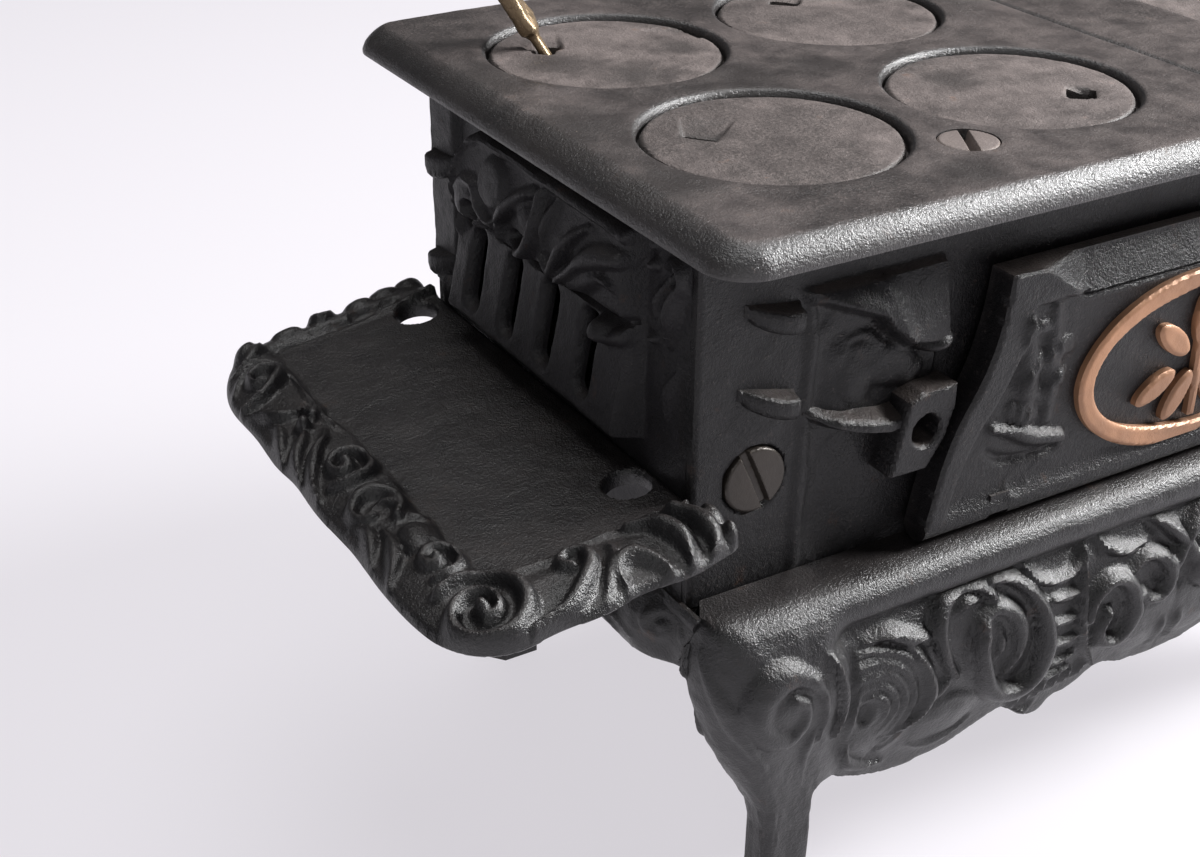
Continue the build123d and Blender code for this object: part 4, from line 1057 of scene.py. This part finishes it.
def side_walls():
    """Left end with its slotted draft chamber; right end with a plain raised field."""
    r = draft_relief()
    cells = 0.5

    def plain(y, z):
        return np.maximum(np.maximum(SIDE_Y[0] - y, y - SIDE_Y[1]), np.maximum(BODY_LOW - z, z - BODY_HIGH))

    def slots(y, z, start):
        s = start
        for slot in DRAFT_SLOTS:
            s = np.maximum(s, -distance_box(y, z, slot - 2.4, slot + 2.4, 123.4, 138.4, 1.7))
        return s

    def inside(y, z):
        return slots(y, z, plain(y, z))

    def left_height(y, z):
        bulge = draft_reach(y, z)
        calm = smooth((bulge - 1.0) / 1.5) * smooth((z - 134.5) / 2.5) + (y < -40) * (z > 124)
        post = 1.5 * smooth((y - 28.6) / 1.2) * smooth((z - 118.5) / 1.5)
        relief = r.at(y, z)
        h = np.maximum(bulge + np.where(relief > 0, 1.45, 1.9) * relief * calm, post)
        flare = slots(y, z, np.full(y.shape, -9.0))
        shelf = 0.9 * smooth((1.1 - np.abs(z - 140.4)) / 1.0) * (bulge > 2)
        return np.minimum(h - shelf, 8.2) - 1.1 * rounded(flare, 1.5) + cast_skin(y, z, 51, 1.6)

    def left_front(y, z):
        return -(BODY_HALF + left_height(y, z)), y, z

    def left_back(y, z):
        return -(SIDE_IN + np.clip(draft_reach(y, z) - 0.3, 0, None)), y, z

    ys, zs = lines(*SIDE_Y, cells), lines(BODY_LOW, BODY_HIGH, cells)
    points, quads = merge(grid_shell(ys, zs, inside, left_front, left_back),
                          lump_shell("y", -110.4, -1, (28.8, 37.6), (148.2, 147.6), 2.6, 3.2),
                          lump_shell("y", -110.4, -1, (28.8, 37.6), (128.0, 127.2), 2.8, 3.2))
    # The left end wears the lighter paint that holds painted light.
    make_piece("left_side_casting", "stove", ["left_side_panel"], points, quads, cast_left_end_painted_light)

    q = Relief(-54, 42, 92, 162)
    for turn in (-1, 1):
        def s(points, *args, **more):
            q.stroke([(-5.5 + turn * u, v) for u, v in points], *args, **more)
        s([(4, 133), (9, 141), (16, 145), (23, 143), (25, 137), (21, 133), (17, 136)], 1.7, 1.9, 0.4, 0.6,
          moat=0.6)
        s([(4, 129), (9, 121), (16, 117), (23, 119), (25, 125), (21, 129), (17, 126)], 1.7, 1.9, 0.4, 0.6,
          moat=0.6)
        s([(2, 146), (8, 151), (17, 152), (26, 149)], 1.3, 1.4, 0.4, 0.4)
        s([(2, 116), (8, 111), (17, 110), (26, 113)], 1.3, 1.4, 0.4, 0.4)
    q.dome(-5.5, 131, 4.6, 5.6, 1.9)
    q.dome(-5.5, 131, 2.4, 3.2, 1.2, mode="cut")
    q.blur(0.35)

    def right_front(y, z):
        field = distance_box(y, z, -38, 27, 104, 158, 4.0)
        frame_line = 0.9 * np.exp(-((field + 3.2) / 1.3) ** 2)
        h = 2.2 * smooth(-field / 2.4) + frame_line + 0.8 * q.at(y, z) * smooth((-field - 4) / 2)
        h = np.maximum(h, 1.4 * smooth((y - 28.6) / 1.2) * smooth((z - 97) / 1.2))
        return BODY_HALF + h - 0.5 * rounded(plain(y, z), 0.8) + cast_skin(y, z, 57, 1.3), y, z

    def right_back(y, z):
        return SIDE_IN, y, z

    points, quads = grid_shell(ys, zs, plain, right_front, right_back)
    make_piece("right_side_casting", "stove", ["right_side_panel"], points, quads, cast_black)


def back_wall():
    """Plain back casting with a raised field and two bolt holes."""
    def inside(x, z):
        s = np.maximum(np.abs(x) - BODY_HALF, np.maximum(BODY_LOW - z, z - BODY_HIGH))
        return np.maximum(s, 2.3 - np.hypot(np.abs(x) - 96.6, z - 115.7))

    def front(x, z):
        field = distance_box(x, z, -85, 85, 103, 150, 4.0)
        h = 1.3 * smooth(-field / 1.6) - 0.5 * rounded(inside(x, z), 0.8)
        return x, 41.0 + h + cast_skin(x, z, 61, 1.2), z

    def back(x, z):
        return x, 38.5, z

    cells = 0.9
    points, quads = grid_shell(lines(-BODY_HALF, BODY_HALF, cells), lines(BODY_LOW, BODY_HIGH, cells),
                                inside, front, back)
    make_piece("back_casting", "stove", ["back_panel"], points, quads, cast_black)


side_walls()
back_wall()


# ---- oven door ----------------------------------------------------------
DOOR_EDGE = [(50.1, 145.0), (51.2, 136.0), (54.0, 126.5), (58.6, 118.2), (61.4, 110.0), (63.2, 102.0),
             (63.8, 98.6)]
HINGE_Y, HINGE_Z, KNUCKLE = -57.3, 98.6, 3.0


def oven_door():
    """Bell-shaped door with rough bosses beside its badge; it turns on its rounded foot."""
    edge = curve(DOOR_EDGE, 1.0)
    loop = np.vstack([edge, [(63.8, 95.6), (-63.8, 95.6)], (edge * (-1, 1))[::-1]])
    r = Relief(-66, 4, 94, 148)
    r.stroke([(-44.5, 135), (-43.4, 128), (-42.4, 120), (-43.6, 114.6)], 2.6, 1.3, 0.6, 0.7)
    r.stroke([(-38, 136.4), (-37.4, 128), (-36.6, 120), (-37, 114)], 2.3, 1.0, 0.6, 0.7)
    for seed, (u, v) in enumerate(((-41, 133), (-39.6, 126.4), (-43.6, 123), (-38.6, 119.6), (-45.4, 117.6),
                                   (-34.6, 128), (-35.4, 122.2), (-41.4, 115.6))):
        r.dome(u, v, 2.1 + 0.3 * (seed % 3), 1.7 + 0.4 * (seed % 2), 0.8, 30 * seed, mode="add")
    r.stroke([(-50, 115.2), (-45, 113.4), (-40, 111), (-33.4, 109.4)], 1.7, 2.0, 0.5, 0.9, moat=0.8)
    r.stroke([(-50.4, 110.6), (-46, 107.6), (-40, 106.2), (-33.6, 107.2)], 1.6, 1.3, 0.4, 0.6, mode="cut")
    r.blur(0.3)
    low = Relief(-66, 4, 94, 110)
    low.stroke(spiral(-42.4, 101.8, 2.6, 2.3, 60, 400), 0.8, 0.9)
    low.stroke([(-40, 103.2), (-36.4, 105), (-33, 104.6)], 0.8, 0.8)
    low.stroke([(-33.6, 99.8), (-30, 99.4), (-28, 100.4)], 0.7, 0.6)
    low.blur(0.25)

    def inside(x, z):
        return distance_inside(x, z, loop)

    def inside_with_slots(x, z):
        ear_slot = np.maximum(np.abs(np.abs(x) - 46.5) - 2.35, z - (HINGE_Z - 0.9))
        return np.maximum(inside(x, z), -ear_slot)

    def height(x, z):
        a = -np.abs(x)
        s = inside(x, z)
        slope_from = np.interp(-a, [0, 31.5, 43.5, 60], [136.2, 136.2, 144.8, 151])
        lip = 0.35 * np.exp(-((z - slope_from) / 1.1) ** 2) * (z > 120)
        lean = -0.44 * np.clip(z - slope_from, 0, None) + lip
        field = np.maximum(distance_box(x, z, -33, 33, 99.6, 135.6, 9.0), 104.0 - z)
        sunk = -1.5 * smooth(-field / 1.6)
        band = 3.4 + 0.1 * np.clip(z - 100, 0, 30)
        border = -1.5 * smooth((-s - band) / 1.3) * (z < slope_from + 1.5)
        high = r.at(a, z) * smooth((z - 105.2) / 3.0) * smooth((-s - 0.6) / 1.2)
        return (np.minimum(sunk, border) * smooth((z - 98.4) / 5) + lean + high
                + 0.35 * np.clip(low.at(a, z), 0, 1.2) * (z < 109) - 0.7 * rounded(s, 0.8) * (z > 97)
                + cast_skin(x, z, 71, 0.9) * smooth((z - 98) / 6))

    def front(x, z):
        below = np.clip(HINGE_Z - z, 0, KNUCKLE - 0.02)
        y = HINGE_Y - np.sqrt(KNUCKLE**2 - below**2)
        return x, y - np.maximum(height(x, z), -3.6) * (z > HINGE_Z), z

    def back(x, z):
        below = np.clip(HINGE_Z - z, 0, KNUCKLE - 0.02)
        y = np.where(z < HINGE_Z, HINGE_Y + np.sqrt(KNUCKLE**2 - below**2), -54.4)
        ear = (np.abs(np.abs(x) - 46.5) < 2.35) & (z < 101.7)
        shell = np.where(z < HINGE_Z, HINGE_Y - np.sqrt(np.clip(2.62**2 - below**2, 0, None)), -59.92)
        return x, np.where(ear, shell, y), z

    cells = 0.55
    # narrow cells on both sides of each ear slot keep its edges crisp
    stops = (-63.8, -49.2, -48.7, -44.3, -43.8, 43.8, 44.3, 48.7, 49.2, 63.8)
    xs = np.unique(np.round(np.concatenate([lines(a, b, 0.5 if b - a < 0.6 else cells)
                                            for a, b in zip(stops, stops[1:])]), 4))
    zs = np.unique(np.round(np.concatenate([lines(95.6, 98.6, 0.5), lines(98.6, 145, cells)]), 4))
    points, quads = grid_shell(xs, zs, inside_with_slots, front, back)
    # The door wears the paint with painted shade and painted top light.
    make_piece("oven_door_casting", "oven_door", ["oven_door"], points, quads, cast_front_shade_and_top_light)


def door_badge():
    """Plain oval ring round a sprig of leaves, in bare coppery metal."""
    leaves = [(-10.5, 113.5, 5.2, 2.2, 28), (-4.2, 110.4, 5.4, 2.2, 58), (4.2, 110.4, 5.4, 2.2, 122),
              (10.5, 113.5, 5.2, 2.2, 152), (-7.4, 122.6, 5.4, 2.3, 140), (7.4, 122.6, 5.4, 2.3, 40),
              (0, 125.6, 2.4, 5.6, 0)]

    def inside(x, z):
        oval = np.hypot(x / 30.6, (z - 118.4) / 17.2)
        width = 1.7 + 0.5 * np.cos(3 * np.arctan2(z - 118.4, x))
        s = np.abs(oval - 0.94) * 20.0 - width
        stem = np.maximum(np.abs(x + 0.05 * (z - 116)) - 0.9, np.abs(z - 114.5) - 9.5)
        s = np.minimum(s, stem)
        for cx, cz, ru, rv, angle in leaves:
            c, n = math.cos(math.radians(angle)), math.sin(math.radians(angle))
            u, v = (x - cx) * c + (z - cz) * n, (z - cz) * c - (x - cx) * n
            s = np.minimum(s, (np.hypot(u / ru, v / rv) - 1) * min(ru, rv))
        return np.maximum(s, 101.0 - z)

    def front(x, z):
        s = inside(x, z)
        return x, -60.5 + 0.7 * rounded(s, 0.7) + 0.05 * lumps(x, z, 1.6, 81), z

    def back(x, z):
        return x, -58.4, z

    cells = 0.42
    points, quads = grid_shell(lines(-32, 32, cells), lines(100.5, 137, cells), inside, front, back,
                               wall_rows=2)
    make_piece("door_badge", "oven_door", ["oven_door"], points, quads, copper)


oven_door()
door_badge()


# ---- cooking plates, lids and cover -------------------------------------
# Centres of the lid wells, and of the top bolts with the direction of each slot.
WELLS = {"lid_front_left": (-78.0, -27.5), "lid_front_right": (-25.0, -27.5),
         "lid_back_left": (-78.0, 27.5), "lid_back_right": (-25.0, 27.5)}
TIES = ((-51.2, -46.3, 0.48, 0.877), (51.2, -46.3, 0.92, 0.39), (24.5, 32.5, -0.6, 0.8))
FLUE_X, FLUE_Y = 24.5, 51.0
LEDGE, LID_TOP = 161.6, 164.2
PLATE_BOX = (-114, 114, -68, 68)
PLATE_SEAM = 11.0                # x of the joint between the two plates
PLATE_UNDER = 160.0
COVER_HOLE = (38, 98, -36, 36)
COVER = (38.6, 97.4, -35.4, 35.4)
WELL_R, LID_R = 24.6, 22.5
TIE_HOLE_R, FLUE_HOLE_R = 5.45, 10.6


def plate_height(x, y, hole):
    """Top of the cooking plate: broad soft bevel outside, rounded rims at the openings."""
    to_side, to_end = PLATE_BOX[1] - np.abs(x), PLATE_BOX[3] - np.abs(y)
    edge = -distance_box(x, y, *PLATE_BOX, 8.0)
    share = smooth(np.clip(to_end, 0.01, None) / np.clip(to_end + to_side, 0.02, None))
    wide = 3.3 + 2.3 * share
    t = np.clip(1 - np.clip(edge, 0, None) / wide, 0, 1)
    fall = 4.3 * (0.5 * t**1.2 + 0.5 * (1 - np.sqrt(1 - t * t)))
    rim = rounded(hole, 1.3)
    swell = 0.12 * np.exp(-((hole + 2.6) / 1.6) ** 2)
    return TOP - fall - rim + swell - 0.12 + 0.6 * cast_skin(x, y, 91)


def well_rim(cx, cy, hole, outer):
    """Smooth ring of plate round an opening, so the rim stays evenly round."""
    def place(turn, r, z=None):
        x, y = cx + r * np.cos(turn), cy + r * np.sin(turn)
        return x, y, plate_height(x, y, hole - r) if z is None else np.full_like(x, z)

    return grid_shell(np.linspace(0, 2 * np.pi, 145), np.linspace(hole, outer, 6),
                      lambda turn, r: np.full_like(r, -1.0), place,
                      lambda turn, r: place(turn, r, PLATE_UNDER))


def annulus(x, y, hole, rim, z0, z1):
    """Ledge that carries a round lid."""
    return turned([(hole, z0), (rim, z0), (rim, z1), (hole, z1)], (x, y, 0), around=96)


def cooking_plates():
    """Both cooking plates with their openings, and the ledges that carry the lids."""
    cells = 0.56

    def wells(x, y):
        s = np.full(x.shape, -99.0)
        for cx, cy in WELLS.values():
            s = np.maximum(s, WELL_R - np.hypot(x - cx, y - cy))
        return s

    def ties(x, y):
        s = np.full(x.shape, -99.0)
        for cx, cy, _, _ in TIES:
            s = np.maximum(s, TIE_HOLE_R - np.hypot(x - cx, y - cy))
        return s

    def cover_hole(x, y):
        return np.maximum(-distance_box(x, y, *COVER_HOLE, 1.5),
                          FLUE_HOLE_R - np.hypot(x - FLUE_X, y - FLUE_Y))

    def bottom(x, y):
        return x, y, PLATE_UNDER

    def plate(x0, x1, openings, round_off=0.0):
        def inside(x, y):
            outline = np.maximum(distance_box(x, y, *PLATE_BOX, 8.0), np.maximum(x0 - x, x - x1))
            return np.maximum(outline, np.maximum(openings(x, y), ties(x, y)))

        def top(x, y):
            seam = np.minimum(np.abs(x - PLATE_SEAM) - 0.2, 9)
            z = plate_height(x, y, np.maximum(openings(x, y) - round_off, ties(x, y) - 0.9))
            return x, y, z - 0.5 * smooth((0.8 - seam) / 0.8)

        return grid_shell(lines(max(x0, -114), min(x1, 114), cells), lines(-68, 68, cells), inside, top,
                          bottom)

    shells = [plate(-115, 10.8, wells, 1.5)]
    for cx, cy in WELLS.values():
        shells.append(well_rim(cx, cy, 23.1, 24.7))
        shells.append(annulus(cx, cy, 20.5, 23.3, 160.1, LEDGE))
    points, quads = merge(*shells)
    make_piece("burner_plate_casting", "stove", ["burner_plate"], points, quads, cast_top)

    def ledge_inside(x, y):
        return np.maximum(distance_box(x, y, 37.8, 98.2, -36.2, 36.2),
                          -distance_box(x, y, 40.5, 95.5, -33.5, 33.5))

    ledge = grid_shell(lines(37.8, 98.2, 1.35), lines(-36.2, 36.2, 1.35), ledge_inside,
                       lambda x, y: (x, y, LEDGE), lambda x, y: (x, y, 160.1))
    points, quads = merge(plate(11.2, 115, cover_hole), ledge)
    make_piece("warming_plate_casting", "stove", ["warming_plate"], points, quads, cast_top)


# Each lid: key slot from the lid centre, its angle, length and width, then its finger ramp's
# direction, length and depth.
KEYS = {"lid_front_left": ((-9.9, 7.0), -48, 7.0, 4.4, (0.66, 0.75), 9.0, 1.9),
        "lid_front_right": ((9.7, -8.2), -42, 5.4, 5.0, (-0.7, 0.7), 3.0, 0.9),
        "lid_back_left": ((-9.0, 7.5), 50, 6.6, 4.4, (0.2, 0.98), 9.0, 0.9),
        "lid_back_right": ((-2.3, 12.0), -45, 6.4, 4.4, (0.5, 0.86), 6.0, 0.9)}


def lids():
    """Round lids with a key slot, a finger ramp beside it and a rounded rim."""
    cells = 0.42
    for seed, (name, (cx, cy)) in enumerate(WELLS.items()):
        (kx, ky), angle, length, width, (du, dv), reach, depth = KEYS[name]
        c, n = math.cos(math.radians(angle)), math.sin(math.radians(angle))

        def slot(x, y):
            u, v = x - cx - kx, y - cy - ky
            return distance_box(u * c + v * n, v * c - u * n, -length / 2, length / 2, -width / 2, width / 2,
                                0.5)

        def inside(x, y):
            return np.maximum(np.hypot(x - cx, y - cy) - LID_R, -slot(x, y))

        def top(x, y):
            u, v = x - cx - kx, y - cy - ky
            along = u * du + v * dv
            across = np.abs(v * du - u * dv)
            beside = smooth((3.6 + 0.2 * along - across) / 0.9)
            ramp = np.clip(1 - along / reach, 0, 1) * beside * (along > -1.5)
            z = LID_TOP - depth * ramp - 0.8 * rounded(np.hypot(x - cx, y - cy) - LID_R, 0.9)
            z = z - 0.35 * rounded(-slot(x, y), 0.6)
            if name == "lid_back_left":
                bent = np.abs(np.hypot(x + 64, y - 28) - 8.0)
                z = z - 0.45 * smooth((1.6 - bent) / 1.4) * (x > -64) * (y > 27)
            z = z - 0.25 * smooth((np.hypot(x - cx, y - cy) - 16) / 6)
            return x, y, z + 0.75 * cast_skin(x, y, 101 + seed)

        def bottom(x, y):
            return x, y, LEDGE + 0.02

        xs, ys = lines(cx - LID_R, cx + LID_R, cells), lines(cy - LID_R, cy + LID_R, cells)
        points, quads = grid_shell(xs, ys, inside, top, bottom)
        make_piece(name + "_casting", name, [name], points, quads, cast_lid)


def warming_cover():
    """Rectangular cover with a key slot and its finger ramp."""
    def inside(x, y):
        s = distance_box(x, y, *COVER, 1.0)
        return np.maximum(s, -distance_box(x, y, 83.8, 88.2, -3.4, 3.4, 0.6))

    def top(x, y):
        z = LID_TOP - 0.8 * rounded(distance_box(x, y, *COVER, 1.0), 0.8)
        ramp = np.clip((x - 74) / 10, 0, 1) * smooth((4.4 - np.abs(y)) / 1.6) * (x < 86)
        return x, y, z - 0.8 * ramp - 0.1 + 0.7 * cast_skin(x, y, 121)

    cells = 0.6
    points, quads = grid_shell(lines(*COVER[:2], cells), lines(*COVER[2:], cells), inside, top,
                               lambda x, y: (x, y, LEDGE + 0.02))
    make_piece("warming_cover_casting", "warming_cover", ["warming_cover"], points, quads, cast_lid)


cooking_plates()
lids()
warming_cover()


# ---- lifter, bolts and flue collar --------------------------------------
def lid_lifter():
    """Cast lid lifter leaning out of the back left lid, with a spur on one side."""
    lean = np.array((-0.42, 0.36, 0.83))
    lean /= np.linalg.norm(lean)
    across = np.cross(lean, (0, 0, 1.0))
    across /= np.linalg.norm(across)
    face = np.cross(across, lean)
    foot = np.array((-87.0, 35.0, 162.9))
    loop = np.vstack([[(-4.2, -1.25), (4.6, -1.35)],
                      curve([(5.4, -2.2), (9, -2.35), (20, -2.1), (38, -1.95), (52, -2.3), (60, -3.0),
                             (64.5, -3.3)],
                            1.0),
                      curve([(66.3, -2.0), (66.5, 0), (66.3, 2.0)], 1.0),
                      curve([(64.5, 3.3), (60, 3.0), (52, 2.3), (38, 1.95), (20, 2.1), (12, 2.3),
                             (10.4, 2.9)], 1.0),
                      [(9.3, 4.4), (8.2, 5.0), (7.0, 4.8), (6.9, 3.4), (6.2, 2.4), (4.6, 1.35),
                       (-4.2, 1.25)]])

    def inside(t, s):
        return distance_inside(t, s, loop)

    def thick(t, s, seed):
        half = np.interp(t, [-4.2, 4.0, 5.4, 40, 66], [0.9, 0.92, 1.62, 1.55, 1.95])
        groove = 0.45 * smooth((0.9 - np.abs(s)) / 0.8) * smooth((t - 12) / 4) * smooth((60 - t) / 4)
        spur = 0.5 * smooth((s - 2.0) / 1.2)
        skin = 0.13 * lumps(t, s, 2.2, seed) + 0.06 * lumps(t, s, 0.9, seed + 1)
        return half - spur - groove - 0.8 * rounded(inside(t, s), 0.9) + skin * (t > 5)

    def place(t, s, w):
        p = foot + t[..., None] * lean + s[..., None] * across + w[..., None] * face
        return p[..., 0], p[..., 1], p[..., 2]

    cells = 0.3
    points, quads = grid_shell(lines(-4.2, 66.5, cells), lines(-3.4, 5.2, cells), inside,
                               lambda t, s: place(t, s, thick(t, s, 131)),
                               lambda t, s: place(t, s, -thick(t, s, 141)), wall_rows=3)
    make_piece("lifter_casting", "lid_lifter", ["lid_lifter"], points, quads, lifter_metal)


def slotted_head(radius, slot_dir, crown, depth):
    """Height of a slotted bolt head over its flat underside plane, as a function of u and v."""
    du, dv = slot_dir

    def inside(u, v):
        return np.hypot(u, v) - radius

    def height(u, v):
        off = np.abs(v * du - u * dv)
        cut = depth * smooth((0.95 - off) / 0.35)
        dome = crown * (1 - (u * u + v * v) / radius**2)
        return dome - cut - 0.6 * rounded(inside(u, v), 0.5) + 0.35 * cast_skin(u, v, 151)

    return inside, height


TIE_HEAD_Z, COLUMN_FACE_Y = 164.86, -53.55
COLUMN_BOLT = (96.6, 115.7)


def bolts():
    """Slotted heads and shanks of the top and column bolts."""
    cells = 0.22
    shells = []
    for cx, cy, du, dv in TIES:
        inside, height = slotted_head(5.3, (du, dv), 0.12, 2.3)
        span = lines(-5.4, 5.4, cells)
        shells.append(grid_shell(span, span, inside, lambda u, v: (cx + u, cy + v, TIE_HEAD_Z + height(u, v)),
                                 lambda u, v: (cx + u * 0.75, cy + v * 0.75, 162.2)))
        shells.append(turned([(0.01, 85.2), (1.6, 85.2), (1.6, 162.3), (0.01, 162.3)], (cx, cy, 0),
                             around=24))
    points, quads = merge(*shells)
    make_piece("tie_bolt_heads", "stove", ["top_tie_bolts"], points, quads, worn_head)
    shells = []
    for side in (-1, 1):
        inside, height = slotted_head(6.0, (0.40, -0.917), 0.25, 1.1)
        span = lines(-6.1, 6.1, cells)
        cx, cz = side * COLUMN_BOLT[0], COLUMN_BOLT[1]
        shells.append(grid_shell(span, span, inside, lambda u,
                                 v: (cx + u, COLUMN_FACE_Y - height(u, v), cz + v),
                                 lambda u, v: (cx + u, -51.9, cz + v)))
        shells.append(turned([(0.01, -52.0), (2.2, -52.0), (2.2, 46.6), (1.9, 47.0), (0.01, 47.0)],
                             (cx, 0, cz),
                             axis="y", around=28))
    points, quads = merge(*shells)
    make_piece("column_bolt_heads", "stove", ["column_bolts"], points, quads, bolt_steel)


def flue_collar():
    """Beaded pipe collar."""
    profile = [(8.5, 160.2), (10.4, 160.2), (10.5, 165.0), (11.6, 165.02), (12.3, 165.1), (12.5, 165.6),
               (12.4, 166.8), (11.9, 167.4), (11.2, 167.7), (10.7, 168.4), (10.5, 169.6), (10.5, 171),
               (10.5, 172.6), (10.6, 174.2), (10.5, 175.2), (10.1, 175.8), (9.5, 176.0), (8.9, 175.8),
               (8.55, 175.2), (8.5, 172), (8.5, 168), (8.5, 164)]
    points, quads = turned(profile, (FLUE_X, FLUE_Y, 0), around=96, wobble=0.06, seed=161)
    make_piece("flue_collar_casting", "stove", ["flue_collar"], points, quads, cast_black)


lid_lifter()
bolts()
flue_collar()


# ---- camera, light and floor --------------------------------------------
CAMERA_FROM_TOP = (-246.85, -255.26, 99.93)   # camera from the middle of the cooking plate, at its surface
LIGHT_AIM = 0.1                               # height that the lamps point at, in metres


def camera_and_light():
    """The camera at the reference view, a pale floor and a soft studio light."""
    yaw, pitch, roll = math.radians(30.748), math.radians(29.152), math.radians(0.477)
    ahead = Vector((math.sin(yaw) * math.cos(pitch), math.cos(yaw) * math.cos(pitch), -math.sin(pitch)))
    right = Vector((math.cos(yaw), -math.sin(yaw), 0.0))
    up = right.cross(ahead)
    right, up = (math.cos(roll) * right + math.sin(roll) * up,
                 math.cos(roll) * up - math.sin(roll) * right)
    camera = bpy.data.cameras.new("camera")
    camera.sensor_width = 36.0
    camera.lens = 52.516
    camera.clip_start = 0.01
    view = bpy.data.objects.new("camera", camera)
    bpy.context.scene.collection.objects.link(view)
    turn = Matrix((right, up, -ahead)).transposed().to_4x4()
    place = (Vector((CX, CY, TOP - FLOOR)) + Vector(CAMERA_FROM_TOP)) * MM
    view.matrix_world = Matrix.Translation(place) @ turn
    bpy.context.scene.camera = view

    def softbox(name, where, size, watts):
        lamp = bpy.data.lights.new(name, "AREA")
        lamp.shape = "DISK"
        lamp.size = size
        lamp.energy = watts
        thing = bpy.data.objects.new(name, lamp)
        bpy.context.scene.collection.objects.link(thing)
        thing.location = where
        thing.rotation_mode = "QUATERNION"
        thing.rotation_quaternion = (Vector((0, 0, LIGHT_AIM)) - Vector(where)).to_track_quat("-Z", "Y")

    softbox("key", (0.80, -0.31, 0.62), 0.34, 28.0)
    softbox("top", (0.00, 0.10, 1.10), 0.8, 7.0)
    softbox("fill", (-0.55, -0.75, 0.45), 0.5, 1.5)
    world = bpy.data.worlds.new("studio")
    bpy.context.scene.world = world
    world.use_nodes = True
    background = world.node_tree.nodes["Background"]
    background.inputs["Color"].default_value = (0.93, 0.92, 0.96, 1)
    background.inputs["Strength"].default_value = 0.10
    bpy.context.scene.view_settings.view_transform = "Standard"

    span = 3.0
    mesh = bpy.data.meshes.new("floor")
    mesh.from_pydata([(-span, -span, 0), (span, -span, 0), (span, span, 0), (-span, span, 0)], [],
                     [(0, 1, 2, 3)])
    floor = bpy.data.objects.new("floor", mesh)
    bpy.context.scene.collection.objects.link(floor)
    material = bpy.data.materials.new("floor")
    material.use_nodes = True
    shader = material.node_tree.nodes["Principled BSDF"]
    shader.inputs["Base Color"].default_value = (0.20, 0.195, 0.205, 1)
    shader.inputs["Emission Color"].default_value = (0.86, 0.83, 0.88, 1)
    shader.inputs["Emission Strength"].default_value = 0.74
    shader.inputs["Roughness"].default_value = 0.7
    mesh.materials.append(material)


camera_and_light()

# CAD nodes that have no piece of their own wear their slot's material.
finish = {"black_casting": cast_black, "worn_lid": cast_lid, "sooty_iron": sooty, "bolt_steel": bolt_steel,
          "lifter_metal": lifter_metal}
for subpart in frame["record"]["subparts"]:
    node = frame["nodes"][subpart["node"]]
    node.data.materials.clear()
    node.data.materials.append(finish[subpart["material_slot"]])
